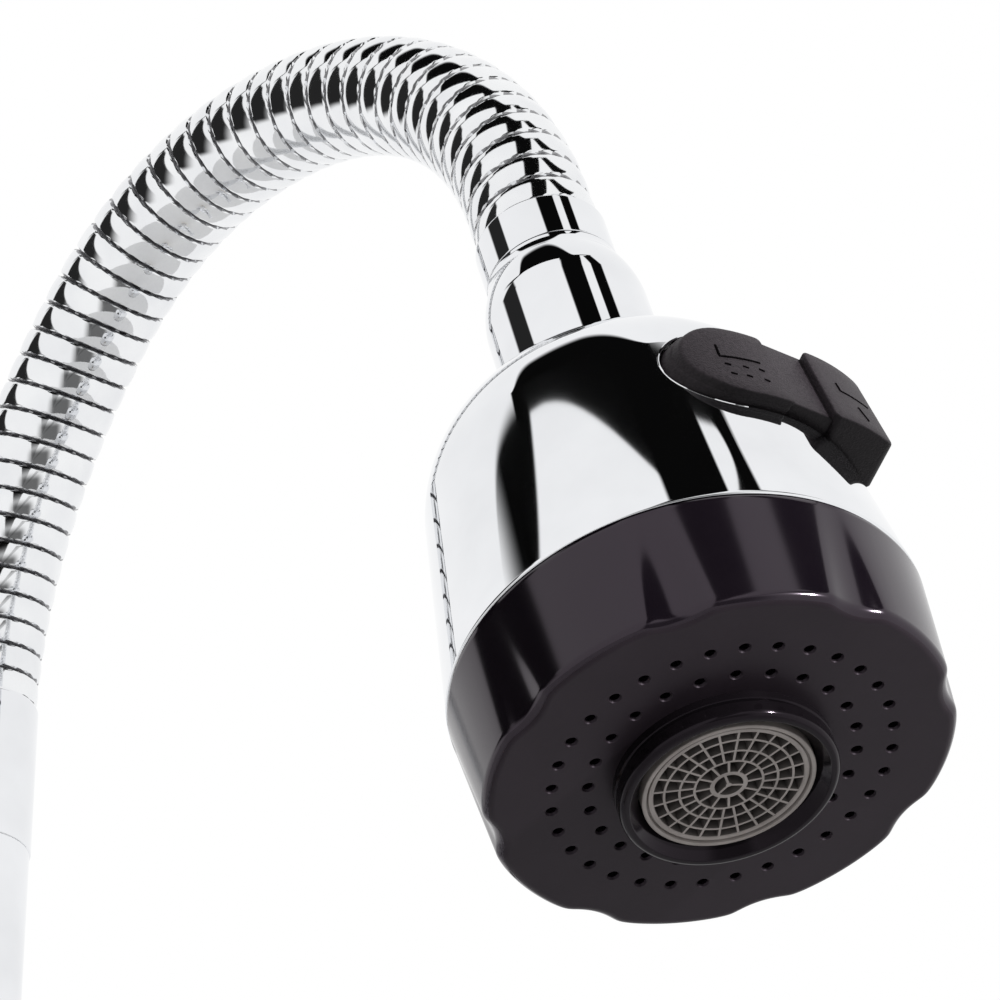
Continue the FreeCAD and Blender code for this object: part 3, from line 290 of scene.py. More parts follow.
# What mirrors see overhead. A direction is given by how far it leans across the view and back towards the
# camera, both over its rise. The bell's straight side looks along one curve of these, and drift is the
# distance from that curve. Pairs are soft edges, between whose two values brightness changes, apart from
# CURVE_ENDS, REACH_SPAN, GEAR_ROUND and GEAR_RISE, which are ranges.
LEAST_RISE = 0.02
CURVE = (-0.0476, -0.1658, -0.3029, -0.7646, -0.3576, -0.2384)  # highest power first
CURVE_ENDS = (-2.2, 1.1)
CEILING_DARK = 0.997
CEILING_FADE = -0.6
FADE_EDGE = (1.2, 2.6)
REACH_MORE = 0.65  # how much further back the ceiling reaches in the middle
REACH_LEAST = 0.027
REACH_SPAN = (-0.84, -0.1)
REACH_SOFT = 0.2
CEILING_BACK = (-1.25, -0.85)
CEILING_LEFT = (-1.95, -1.4)
CEILING_NEAR = (0.04, 0.12)
CEILING_MIDDLE = (-0.15, -0.11)
CEILING_RIGHT = (0.325, 0.345)
CEILING_FLARE = -0.6
PANEL_CURVE = (0.04755, 0.0902, 0.02246)
PANEL_BACK = (-0.0008, 0.0008)
PANEL_SLANT = 5.6
PANEL_LEFT = (-1.0, -0.96)
PANEL_RIGHT = (-0.15, -0.125)
STRIP_LEFT = (0.165, 0.18)
STRIP_LEFT_FLARE = -0.13
STRIP_RIGHT = (0.262, 0.275)
STRIP_RIGHT_FLARE = -0.5
STRIP_FOOT = (-0.007, -0.004)
STRIP_TAPER = 250.0
TAPER_FROM = 0.002
TAPER_MOST = 0.015
WALL_DARK = 0.98  # a dark wall to the left, in radians round the view and above it
WALL_LEFT = (-2.06, -2.02)
WALL_RIGHT = (-1.45, -0.95)
WALL_FOOT = (-0.25, -0.1)
WALL_TOP = (0.59, 0.63)
WALL_FALL = 0.7
WALL_FALL_AT = 1.83
GEAR_DARK = 0.85  # the camera and what stands by it
GEAR_ROUND = (-0.08, 0.6)
GEAR_RISE = (-0.5, 0.4)
GEAR_SOFT = 0.15


# Mesh helpers

def spread(start, end, steps):
    """Evenly spaced values, with both ends."""
    return [start + (end - start) * k / steps for k in range(steps + 1)]


def add_object(name, data):
    obj = bpy.data.objects.new(name, data)
    bpy.context.scene.collection.objects.link(obj)
    return obj


def smooth(obj):
    obj.data.shade_smooth()
    obj.data.set_sharp_from_angle(angle=SHARP)


def ring_faces(rings, count, loop, first=0):
    """Faces over rings of points; a loop joins the last ring to the first, else both ends are closed."""
    faces = []
    spans = rings if loop else rings - 1
    for i in range(spans):
        a = first + i * count
        b = first + (i + 1) % rings * count
        faces += [(a + k, a + (k + 1) % count, b + (k + 1) % count, b + k) for k in range(count)]
    if not loop:
        end = first + spans * count
        faces.append(tuple(range(first + count - 1, first - 1, -1)))
        faces.append(tuple(range(end, end + count)))
    return faces


def many_shells(name, shells, material, place=Matrix(), loop=False):
    """One object of several shells: lists of rings of millimetre points in one of the faucet's frames."""
    verts, faces = [], []
    for rings in shells:
        faces += ring_faces(len(rings), len(rings[0]), loop, len(verts))
        verts += [(place @ Vector(point)) * MM for ring in rings for point in ring]
    mesh = bpy.data.meshes.new(name)
    mesh.from_pydata(verts, [], faces)
    work = bmesh.new()
    work.from_mesh(mesh)
    bmesh.ops.remove_doubles(work, verts=work.verts, dist=WELD)
    bmesh.ops.recalc_face_normals(work, faces=work.faces)
    work.to_mesh(mesh)
    work.free()
    mesh.materials.append(material)
    obj = add_object(name, mesh)
    smooth(obj)
    return obj


def ring_object(name, rings, material, place=Matrix(), loop=False):
    return many_shells(name, [rings], material, place, loop)


def bow(points, steps):
    """Points of the arc through three points, with both ends."""
    (ax, ay), (bx, by), (cx, cy) = points
    d = 2 * (ax * (by - cy) + bx * (cy - ay) + cx * (ay - by))
    a2, b2, c2 = ax * ax + ay * ay, bx * bx + by * by, cx * cx + cy * cy
    centre = Vector(((a2 * (by - cy) + b2 * (cy - ay) + c2 * (ay - by)) / d,
                     (a2 * (cx - bx) + b2 * (ax - cx) + c2 * (bx - ax)) / d))
    return arc_between(centre, Vector(points[0]), Vector(points[2]), steps)


def arc_between(centre, start, end, steps):
    a, b = start - centre, end - centre
    angle = a.angle(b)
    return [tuple(centre + (a * sin((1 - share) * angle) + b * sin(share * angle)) / sin(angle))
            for share in spread(0.0, 1.0, steps)]


def rounded(outline):
    """The points of a closed outline, with its rounded corners as arcs."""
    points = []
    for i, corner in enumerate(outline):
        here = Vector(corner[:2])
        if len(corner) == 2:
            points.append(here)
            continue
        before = (Vector(outline[i - 1][:2]) - here).normalized()
        after = (Vector(outline[(i + 1) % len(outline)][:2]) - here).normalized()
        half = before.angle(after) / 2
        reach = corner[2] / tan(half)
        centre = here + (before + after).normalized() * corner[2] / sin(half)
        steps = max(ROUND_LEAST, ceil((pi - 2 * half) / ROUND_STEP))
        points += [Vector(p) for p in arc_between(centre, here + before * reach, here + after * reach, steps)]
    return supported(points)


def supported(points):
    """Adds a point near each end of long runs, so that smooth shading stays true on them."""
    out = []
    for i, here in enumerate(points):
        run = points[(i + 1) % len(points)] - here
        out.append(tuple(here))
        if run.length > LONG_RUN:
            near = run.normalized() * SUPPORT
            out += [tuple(here + near), tuple(here + run - near)]
    return out


def circle(radius, height, count, x=0.0, y=0.0):
    angles = spread(0.0, TURN, count)[:-1]
    return [(x + radius * cos(angle), y + radius * sin(angle), height) for angle in angles]


def shaped_ring(radius_at, height, count):
    """A ring of points whose radius follows the angle."""
    ring = []
    for angle in spread(0.0, TURN, count)[:-1]:
        radius = radius_at(angle)
        ring.append((radius * cos(angle), radius * sin(angle), height))
    return ring


def sleeve(inner, outer, low, high):
    """The outline of a plain ring or, with no inner radius, of a rod."""
    return [(inner, low), (outer, low), (outer, high), (inner, high)]


def lathe(name, outline, material, place=Matrix(), segments=LATHE_SEGMENTS):
    """A turned piece: a closed outline about the Z axis of its frame."""
    rings = [circle(r, z, segments) for r, z in rounded(outline)]
    return ring_object(name, rings, material, place, loop=True)


def combine(obj, other, operation):
    """Joins another solid to an object, or cuts it away, for good."""
    step = obj.modifiers.new("combine", "BOOLEAN")
    step.operation = operation
    step.solver = "EXACT"
    step.object = other
    bpy.context.view_layer.update()
    made = bpy.data.meshes.new_from_object(obj.evaluated_get(bpy.context.evaluated_depsgraph_get()))
    obj.modifiers.clear()
    made.name = obj.name
    obj.data = made
    bpy.data.objects.remove(other)
    smooth(obj)


def bead_rings(path, outwards, radius):
    """Rings of a round bead along points, with the outward direction at each."""
    rings = []
    for i, here in enumerate(path):
        back, ahead = path[max(0, i - 1)], path[min(i + 1, len(path) - 1)]
        out = outwards[i]
        side = (Vector(ahead) - Vector(back)).normalized().cross(out).normalized()
        angles = spread(0.0, TURN, BEAD_SIDES)[:-1]
        rings.append([tuple(Vector(here) + radius * (cos(a) * out + sin(a) * side)) for a in angles])
    return rings


def finish_and_shade_faces(obj, material, chosen):
    """Gives the faces that a test picks a material of their own: a real finish on the spray face, painted
    shade in the hose's grooves and the aerator's cells.
    """
    obj.data.materials.append(material)
    for face in obj.data.polygons:
        if chosen(face):
            face.material_index = len(obj.data.materials) - 1


# Materials

DRIFT_DETAIL = 3.0
DRIFT_ENDS = (0.3, 0.7)
GRAIN_DETAIL = 2.0
GRAIN_DEPTH = 0.1
BROWN_TINT = (1.0, 0.84, 1.0)


def add_node(tree, kind, inputs, **settings):
    node = tree.nodes.new("ShaderNode" + kind)
    for name, value in settings.items():
        setattr(node, name, value)
    feed(tree, node, inputs)
    return node


def feed(tree, node, inputs):
    """Gives a node's inputs their values, or links them to other nodes' outputs."""
    for name, value in inputs.items():
        if isinstance(value, bpy.types.NodeSocket):
            tree.links.new(value, node.inputs[name])
        else:
            node.inputs[name].default_value = value


def blend_material(name, low, high, rough, scale, metallic=0.0, grain=0.0, grain_scale=3000.0, shine=0.5,
                   tint=(1.0, 1.0, 1.0)):
    """Colour and gloss drift between two values over the surface, with an optional fine grain."""
    material = bpy.data.materials.new(name)
    material.use_nodes = True
    tree = material.node_tree
    where = add_node(tree, "TexCoord", {}).outputs["Object"]
    drift = add_node(tree, "TexNoise", {"Vector": where, "Scale": scale, "Detail": DRIFT_DETAIL})
    drift = drift.outputs["Fac"]
    colour = add_node(tree, "ValToRGB", {"Fac": drift})
    for element, position, value in zip(colour.color_ramp.elements, DRIFT_ENDS, (low, high)):
        element.position = position
        element.color = (*value, 1.0)
    gloss = add_node(tree, "MapRange", {"Value": drift, "To Min": rough[0], "To Max": rough[1]})
    shader = {"Metallic": metallic, "Specular IOR Level": shine, "Specular Tint": (*tint, 1.0),
              "Base Color": colour.outputs["Color"], "Roughness": gloss.outputs["Result"]}
    if grain:
        fine = add_node(tree, "TexNoise", {"Vector": where, "Scale": grain_scale, "Detail": GRAIN_DETAIL})
        relief = add_node(tree, "Bump", {"Height": fine.outputs["Fac"], "Strength": grain,
                                         "Distance": GRAIN_DEPTH * MM})
        shader["Normal"] = relief.outputs["Normal"]
    feed(tree, tree.nodes["Principled BSDF"], shader)
    return material


CHROME = blend_material("mirror_chrome", (0.79, 0.8, 0.82), (0.85, 0.86, 0.88), (0.012, 0.022), 90.0, 1.0)
# painted shade for the hose's grooves: a darker steel, which is also rougher
GROOVE_SHADE_STEEL = blend_material("hose_groove_painted_shade", (0.34, 0.34, 0.35), (0.44, 0.44, 0.45), (0.3, 0.4), 140.0, 1.0)
HOSE_STEEL = blend_material("hose_chrome", (0.8, 0.81, 0.83), (0.88, 0.89, 0.9), (0.04, 0.09), 140.0, 1.0)
BLACK_GLOSS = blend_material("black_gloss", (0.0032, 0.0022, 0.0036), (0.0045, 0.0032, 0.0048), (0.1, 0.15),
                             60.0, tint=BROWN_TINT)
BOSS_GLOSS = blend_material("boss_gloss", (0.0026, 0.002, 0.0026), (0.0038, 0.003, 0.0038), (0.08, 0.12),
                            60.0, shine=0.16, tint=BROWN_TINT)
FACE_SATIN = blend_material("face_satin", (0.0095, 0.007, 0.0092), (0.0125, 0.0092, 0.012), (0.34, 0.44),
                            120.0, grain=0.06, grain_scale=2500.0, shine=0.2, tint=BROWN_TINT)
ROCKER_PLASTIC = blend_material("rocker_grain", (0.0058, 0.0046, 0.0056), (0.0125, 0.0103, 0.012),
                                (0.42, 0.6), 2100.0, grain=0.7, grain_scale=3800.0, shine=0.15)
# painted shade: the signs' raised lines are coloured dark, as an engraved line's shade
SIGN_SHADE = blend_material("sign_painted_recess_shade", (0.0012, 0.001, 0.0012), (0.0024, 0.002, 0.0022), (0.6, 0.75),
                           300.0, shine=0.02)
AERATOR_PLASTIC = blend_material("aerator_plastic", (0.2, 0.178, 0.168), (0.27, 0.243, 0.23), (0.4, 0.55),
                                 260.0, grain=0.1)
# painted shade for the walls of the aerator grid's cells
AERATOR_CELL_SHADE = blend_material("aerator_cell_painted_shade", (0.08, 0.071, 0.067), (0.11, 0.099, 0.094), (0.5, 0.6), 300.0)
INNER_PLASTIC = blend_material("inner_plastic", (0.74, 0.74, 0.72), (0.82, 0.82, 0.8), (0.4, 0.5), 80.0,
                               grain=0.05)
CERAMIC = blend_material("ceramic", (0.86, 0.85, 0.83), (0.92, 0.91, 0.89), (0.18, 0.26), 70.0)
WATER_TUBE = blend_material("water_tube", (0.7, 0.7, 0.68), (0.78, 0.78, 0.76), (0.35, 0.45), 90.0)
SEAL_RUBBER = blend_material("seal_rubber", (0.02, 0.02, 0.02), (0.035, 0.034, 0.034), (0.6, 0.75), 150.0,
                             grain=0.15)
BRASS = blend_material("brass", (0.6, 0.44, 0.2), (0.72, 0.55, 0.28), (0.22, 0.32), 110.0, 1.0, grain=0.05)
STEEL = blend_material("steel", (0.5, 0.5, 0.51), (0.62, 0.62, 0.63), (0.2, 0.3), 130.0, 1.0, grain=0.05)

CAD_FINISH = {
    INNER_PLASTIC: ("diverter_core", "diverter_spool", "spool_plugs", "stem_slip_ring", "spindle_carrier",
                    "cartridge_base"),
    CERAMIC: ("fixed_disc", "moving_disc"),
    SEAL_RUBBER: ("base_gasket", "rubber_washer", "stem_o_rings", "face_seal", "aerator_seal", "nut_washer",
                  "spool_seals"),
    BRASS: ("spindle", "cartridge_nut", "mounting_nut"),
    STEEL: ("steel_washer", "spindle_pin", "rocker_pin", "lever_screw"),
    CHROME: ("lever_plug",)}


def settle(obj, body, *nodes):
    """Puts a piece on its body, in the place of the CAD nodes that it stands for."""
    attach(obj, body)
    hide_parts(*nodes)


# Route of the neck

class NeckArc:
    """One arc of the neck in the XZ plane; heading 0 is straight up."""

    def __init__(self, span, start, heading, radius, turn):
        self.span = span
        self.heading = heading
        self.radius = radius
        self.turn = radians(turn)
        self.centre = start + Vector((cos(heading), 0, -sin(heading))) * radius
        self.ribs = round(radius * self.turn / RIB_PITCH)

    def point(self, share):
        angle = self.heading + share * self.turn
        return self.centre + Vector((-cos(angle), 0, sin(angle))) * self.radius

    def frame(self, share):
        lean = Matrix.Rotation(self.heading + share * self.turn, 4, "Y")
        return Matrix.Translation(self.point(share)) @ lean

    def distance(self, point):
        """How far a point is from the arc's middle line."""
        off = point - self.centre
        return hypot(hypot(off.x, off.z) - self.radius, off.y)


def neck_route():
    arcs = []
    start, heading = Vector((0, 0, NECK_FOOT_Z)), 0.0
    for span, radius, turn in NECK_SPANS:
        arcs.append(NeckArc(span, start, heading, radius, turn))
        start = arcs[-1].point(1)
        heading += arcs[-1].turn
    return arcs


ARCS = neck_route()
HEAD_TURN = Matrix.Rotation(ARCS[-1].heading + ARCS[-1].turn - pi, 4, "Y")
HEAD = Matrix.Translation(ARCS[-1].point(1) - HEAD_TURN @ Vector((0, 0, HEAD_STACK))) @ HEAD_TURN
TO_HEAD = HEAD.inverted()
CART = Matrix.Translation((0, 0, CART_Z)) @ Matrix.Rotation(-QUARTER, 4, "X")
LEVER = Matrix.Translation((0, PIVOT_A, CART_Z)) @ Matrix.Rotation(LEVER_LEAN, 4, "X")


# Neck

def rib_radius(phase):
    """Radius of the strip-wound hose: crowned turns with a narrow groove between them."""
    away = abs(phase - round(phase))
    if away < GROOVE_HALF:
        fall = (GROOVE_DEPTH - CROWN_DROP) * cos(QUARTER * away / GROOVE_HALF) ** 2
        return HOSE_R - CROWN_DROP - fall
    share = (away - GROOVE_HALF) / (0.5 - GROOVE_HALF)
    return HOSE_R - CROWN_DROP * (1 - share) ** 2


def hose_ring(place, phase):
    """A ring of the hose's turns, which climb by one rib in each turn round it."""
    ring = shaped_ring(lambda angle: rib_radius(phase - angle / TURN), 0, HOSE_SEGMENTS)
    return [place @ Vector(p) for p in ring]


def tube_rings(arc, radius, count):
    shares = spread(0.0, 1.0, arc.ribs * PLAIN_ROWS)
    return [[arc.frame(share) @ Vector(p) for p in circle(radius, 0, count)] for share in shares]


def paint_groove_shade(skin, distance):
    """Gives the grooves between turns painted shade, a darker and rougher steel, by their distance from the
    hose's middle.
    """
    finish_and_shade_faces(skin, GROOVE_SHADE_STEEL, lambda face: GROOVE_SHADE_FROM < distance(face.center / MM) < GROOVE_SHADE_TO)


def make_neck():
    ribs_before = 0
    for arc, body, next_body in zip(ARCS, NECK_BODIES, NECK_BODIES[1:]):
        shares = spread(0.0, 1.0, arc.ribs * RIB_ROWS)
        turns = [hose_ring(arc.frame(share), ribs_before + share * arc.ribs) for share in shares]
        bore = tube_rings(arc, HOSE_BORE_R, HOSE_SEGMENTS)
        skin = ring_object("hose_turns_" + arc.span, turns + bore[::-1], HOSE_STEEL, loop=True)
        tube = tube_rings(arc, TUBE_R, TUBE_SEGMENTS) + tube_rings(arc, TUBE_BORE_R, TUBE_SEGMENTS)[::-1]
        inner = ring_object("water_way_" + arc.span, tube, WATER_TUBE, loop=True)
        paint_groove_shade(skin, arc.distance)
        for obj, node in ((skin, "neck_hose_"), (inner, "water_tube_")):
            arc.point(BEND_SHARE) * MM
            arc.point(1 - BEND_SHARE) * MM
            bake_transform(obj)
            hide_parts(node + arc.span)
        ribs_before += arc.ribs


# Spray head

def shoulder_start(offset):
    """(radius, height) where the bell's straight side meets its shoulder."""
    across, up = BELL_ROUND_AT
    radius = BELL_ROUND + offset
    return across + radius * cos(BELL_SLOPE), up + radius * sin(BELL_SLOPE)


def bell_line(offset):
    """(radius, height) points of the bell's outside from foot to top, moved outwards by an offset."""
    radius = BELL_ROUND + offset
    across, up = BELL_ROUND_AT
    start_r, start_z = shoulder_start(offset)
    points = [(start_r + (start_z - BELL_FOOT) * tan(BELL_SLOPE), BELL_FOOT)]
    for angle in spread(BELL_SLOPE, QUARTER - BELL_LEAN, BELL_ROUND_STEPS):
        points.append((across + radius * cos(angle), up + radius * sin(angle)))
    end_r, end_z = points[-1]
    points.append((end_r - (BELL_TOP + offset - end_z) / tan(BELL_LEAN), BELL_TOP + offset))
    return points


def bell_radius(height, offset):
    start_r, start_z = shoulder_start(offset)
    if height <= start_z:
        return start_r + (start_z - height) * tan(BELL_SLOPE)
    across, up = BELL_ROUND_AT
    return across + sqrt((BELL_ROUND + offset) ** 2 - (height - up) ** 2)


def window_outline():
    """(y, z) points of the rocker's window: round on the left and square on the right."""
    half = ROCKER_HALF + WINDOW_GAP
    middle = -ROCKER_LEFT + ROCKER_HALF
    right = ROCKER_RIGHT + WINDOW_GAP + WINDOW_END_GAP
    low, high = ROCKER_Z - half, ROCKER_Z + half
    points = [(y, low) for y in spread(right, middle, WINDOW_SIDE_STEPS)[:-1]]
    for angle in spread(0.0, pi, WINDOW_BEND_STEPS)[:-1]:
        points.append((middle - half * sin(angle), ROCKER_Z - half * cos(angle)))
    points += [(y, high) for y in spread(middle, right, WINDOW_SIDE_STEPS)[:-1]]
    return points + [(right, z) for z in spread(high, low, WINDOW_END_STEPS)[:-1]]


def make_bell():
    outside, inside = bell_line(0.0), bell_line(-BELL_WALL)
    outline = [(*outside[0], BELL_FOOT_ROUND)] + outside[1:]
    outline += [(BELL_HOLE_R, BELL_TOP, BELL_HOLE_ROUND), (BELL_HOLE_R, BELL_TOP - BELL_WALL)]
    bell = lathe("bell_chrome", outline + inside[::-1], CHROME, HEAD, HEAD_SEGMENTS)
    window = window_outline()
    cutter = ring_object("window", [[(x, y, z) for y, z in window] for x in WINDOW_CUT], CHROME, HEAD)
    combine(bell, cutter, "DIFFERENCE")
    settle(bell, "head", "bell_shell")
    make_window_lip(window)


def make_window_lip(window):
    """The bright edge round the left end of the window."""
    path, outwards = [], []
    for y, z in window:
        if y > LIP_END_Y:
            continue
        x = sqrt(bell_radius(z, -LIP_SINK) ** 2 - y ** 2)
        path.append((x, y, z))
        outwards.append(Vector((x, y, 0)).normalized())
    lip = ring_object("window_lip", bead_rings(path, outwards, LIP_R), CHROME, HEAD)
    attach(lip, "head")


def skirt_radius(height):
    """Radius of the cap's skirt between its notches."""
    return CAP_RIM_R + (CAP_TOP_R - CAP_RIM_R) * max(0.0, height - CAP_EDGE) / (CAP_TOP - CAP_EDGE)


def notch_depth(angle, height):
    """How far the skirt falls back at an angle, softened at each notch's edges."""
    pitch = TURN / NOTCH_COUNT
    off = (angle - NOTCH_PHASE + pitch / 2) % pitch - pitch / 2
    axis = NOTCH_AT + NOTCH_LEAN * height
    side = axis * sin(off)
    depth = NOTCH_NONE
    if abs(side) < NOTCH_R:
        cut = skirt_radius(height) - axis * cos(off) + sqrt(NOTCH_R ** 2 - side ** 2)
        depth = max(NOTCH_NONE, cut)
    return (depth + sqrt(depth ** 2 + NOTCH_SOFT ** 2)) / 2 - NOTCH_EVEN


def skirt_rows():
    """(radius, height) rows of the cap's notched skirt, round its edge and up its side."""
    inner = CAP_RIM_R - CAP_EDGE
    rows = [(inner - SUPPORT, 0.0)]
    for angle in spread(0.0, QUARTER, CAP_EDGE_STEPS):
        rows.append((inner + CAP_EDGE * sin(angle), CAP_EDGE * (1 - cos(angle))))
    heights = spread(CAP_EDGE, CAP_TOP - CAP_TOP_BEVEL, CAP_SKIRT_STEPS)[1:]
    return rows + [(skirt_radius(height), height) for height in heights]


def spray_holes():
    shells = []
    for radius, count, phase in SPRAY_RINGS:
        for k in range(count):
            angle = radians(phase) + TURN * k / count
            x, y = radius * cos(angle), radius * sin(angle)
            shells.append([circle(r, z, HOLE_SIDES, x, y) for r, z in HOLE_ROWS])
    return shells


def make_cap():
    rings = [circle(r, z, CAP_SEGMENTS) for r, z in CAP_FACE]
    rings += [shaped_ring(lambda angle: r - notch_depth(angle, z), z, CAP_SEGMENTS) for r, z in skirt_rows()]
    rings += [circle(r, z, CAP_SEGMENTS) for r, z in CAP_INSIDE]
    cap = ring_object("cap_moulding", rings, BLACK_GLOSS, HEAD, loop=True)
    combine(cap, many_shells("spray_holes", spray_holes(), BLACK_GLOSS, HEAD), "DIFFERENCE")
    finish_and_shade_faces(cap, FACE_SATIN, lambda face: (TO_HEAD @ (face.center / MM)).z < FACE_FINISH)
    settle(cap, "head", "spray_cap")


def grid_cells():
    """The open cells of the aerator's grid, as prisms between its rings and spokes."""
    shells = []
    for count, low, high in GRID_CELLS:
        for k in range(count):
            start = TURN * (k + 0.5) / count
            cell = []
            for radius, backwards in ((low, False), (high, True)):
                inset = asin(GRID_HALF / radius)
                span = spread(start + inset, start + TURN / count - inset, CELL_STEPS)
                for angle in (span[::-1] if backwards else span):
                    cell.append((radius * cos(angle), radius * sin(angle)))
            shells.append([[(x, y, z) for x, y in cell] for z in (-CELL_CUT, CELL_CUT)])
    return shells


def make_aerator():
    settle(lathe("aerator_boss", AERATOR_BOSS, BOSS_GLOSS, HEAD), "head", "aerator_housing")
    settle(lathe("aerator_rim", AERATOR_RIM, AERATOR_PLASTIC, HEAD), "head", "aerator_insert")
    plate = lathe("aerator_grid", sleeve(*GRID_PLATE), AERATOR_PLASTIC, HEAD)
    combine(plate, many_shells("cells", grid_cells(), AERATOR_PLASTIC, HEAD), "DIFFERENCE")
    axis = HEAD.to_3x3() @ Vector((0.0, 0.0, 1.0))
    # painted shade: the cells' walls take a darker plastic
    finish_and_shade_faces(plate, AERATOR_CELL_SHADE, lambda face: abs(face.normal.dot(axis)) < CELL_WALL_LEAN)
    settle(plate, "head", "aerator_insert")


def make_head_joint():
    shoulder = bow(NUT_DOME, NUT_DOME_STEPS) + bow(NUT_COVE, NUT_COVE_STEPS)[1:]
    nut = lathe("nut_chrome", NUT_FOOT + shoulder + NUT_INSIDE, CHROME, HEAD, HEAD_SEGMENTS)
    settle(nut, "head", "head_nut")
    settle(lathe("ferrule_upper", UPPER_FERRULE, CHROME, HEAD), "hose_end", "upper_ferrule")
    make_end_turns()


def make_end_turns():
    """The hose's last turns, straight on from its tip into the ferrule's collar."""
    arc = ARCS[-1]
    pitch = arc.radius * arc.turn / arc.ribs
    ribs_before = sum(each.ribs for each in ARCS)
    reach = HEAD_STACK - COLLAR_END + END_OVERLAP
    rings = []
    for along in spread(0.0, reach, round(reach / pitch * RIB_ROWS)):
        rings.append(hose_ring(arc.frame(1) @ Matrix.Translation((0, 0, along)), ribs_before + along / pitch))
    for along in (reach, 0.0):
        rings.append([arc.frame(1) @ Vector(p) for p in circle(END_BORE_R, along, HOSE_SEGMENTS)])
    turns = ring_object("hose_turns_end", rings, HOSE_STEEL, loop=True)
    paint_groove_shade(turns, lambda point: (TO_HEAD @ point).xy.length)
    settle(turns, "hose_end", "upper_ferrule")


# Selector rocker

def pad_spot(y, z, rise, turn):
    """A point over the bell, or under it, turned about the rocker's pin."""
    radius = bell_radius(z, 0.0) + rise
    x = sqrt(max(0.0, radius ** 2 - y ** 2))
    across = max(x, PIN_X - PAD_BACK) - PIN_X
    sine, cosine = sin(turn), cos(turn)
    return (PIN_X + across * cosine - y * sine, across * sine + y * cosine, z)


def pad_outline(left, right, half, corner, left_corner):
    """Anticlockwise (y, z) points of a pad with rounded corners, with the same count for every size."""
    corners = ((right, -1, corner, -90), (right, 1, corner, 0), (left, 1, left_corner, 90),
               (left, -1, left_corner, 180))
    bends = []
    for y, end, radius, start in corners:
        middle_y = y - radius if y == right else y + radius
        middle_z = ROCKER_Z + end * (half - radius)
        angles = [radians(degrees) for degrees in spread(start, start + 90, CORNER_STEPS)]
        bends.append([Vector((middle_y + radius * cos(a), middle_z + radius * sin(a))) for a in angles])
    points = []
    for bend, following in zip(bends, bends[1:] + bends[:1]):
        points += bend + spread(bend[-1], following[0], EDGE_STEPS)[1:-1]
    return points


def pad_rings(rows, spot, turn):
    """Rings of a pad from its foot up its wall and over its top, for (outline, rise) rows."""
    foot, top = rows[0], rows[-1]
    closing = [(shrunk(foot[0], share), foot[1]) for share in FOOT_SHARES]
    crown = [(shrunk(top[0], share), top[1]) for share in CROWN_SHARES]
    return [[spot(p.x, p.y, rise, turn) for p in points] for points, rise in closing + rows + crown]


def shrunk(points, share):
    centre = sum(points, Vector((0, 0))) / len(points)
    return [centre + (p - centre) * share for p in points]


def saddle_spot(y, z, rise, turn):
    """A point of the flat saddle, from the left pad's crease to just under the right pad's edge."""
    start = pad_spot(CREASE_Y, z, PAD_RISE, turn)
    end = pad_spot(STEP_Y, z, PAD_RISE, turn - ROCKER_TILT)
    share = (y - start[1]) / (end[1] - start[1])
    return (start[0] + (end[0] - STEP_DROP - start[0]) * share + rise - PAD_RISE - CREASE_DROP, y, z)


def box_rings(xs, ys, zs):
    (front, back), (low, high) = ys, zs
    return [[(x, front, low), (x, back, low), (x, back, high), (x, front, high)] for x in xs]


def rocker_parts():
    """Rings of the left pad, the saddle, the right pad, the web to the pin and the tongue."""
    half = ROCKER_HALF
    left = [(pad_outline(inset - ROCKER_LEFT, CREASE_Y, half - inset, CREASE_CORNER, half - inset), rise)
            for inset, rise in LEFT_ROWS]
    saddle = [(pad_outline(CREASE_Y - SADDLE_UNDER, SADDLE_END, half - SADDLE_NARROW - inset, SADDLE_CORNER,
                           SADDLE_CORNER), rise) for inset, rise in SADDLE_ROWS]
    at_end, at_step = RIGHT_CORNERS
    right = [(pad_outline(STEP_Y + inset, ROCKER_RIGHT - inset, half - inset, at_end - inset,
                          at_step - inset), rise) for inset, rise in RIGHT_ROWS]
    swing = Matrix.Translation((PIN_X, 0, 0)) @ Matrix.Rotation(-ROCKER_TILT / 2, 4, "Z")
    swing = swing @ Matrix.Translation((-PIN_X, 0, 0))
    tongue = [[swing @ Vector(p) for p in ring] for ring in box_rings(*TONGUE)]
    return [pad_rings(left, pad_spot, 0.0), pad_rings(saddle, saddle_spot, 0.0),
            pad_rings(right, pad_spot, -ROCKER_TILT), box_rings(*ROCKER_WEB), tongue]


def make_rocker():
    pad, *others = rocker_parts()
    rocker = ring_object("rocker_pads", pad, ROCKER_PLASTIC, HEAD)
    for i, rings in enumerate(others):
        combine(rocker, ring_object("rocker_piece_%d" % i, rings, ROCKER_PLASTIC, HEAD), "UNION")
    pin = HEAD @ Matrix.Translation((PIN_X, 0, 0))
    eye = lathe("rocker_eye", sleeve(*ROCKER_EYE), ROCKER_PLASTIC, pin, PIN_SEGMENTS)
    combine(rocker, eye, "UNION")
    settle(rocker, "selector", "selector_rocker")
    make_signs()


def sign_shell(points, turn):
    """A moulded line on a pad, along (y, z) points."""
    fine = []
    for a, b in zip(points[:-1], points[1:]):
        steps = max(2, ceil((Vector(b) - Vector(a)).length / SIGN_STEP))
        fine += spread(Vector(a), Vector(b), steps)[:-1]
    fine.append(Vector(points[-1]))
    path = [pad_spot(p.x, p.y, SIGN_RISE, turn) for p in fine]
    over = [pad_spot(p.x, p.y, PAD_RISE + 1, turn) for p in fine]
    return bead_rings(path, [(Vector(b) - Vector(a)).normalized() for a, b in zip(path, over)], SIGN_R)


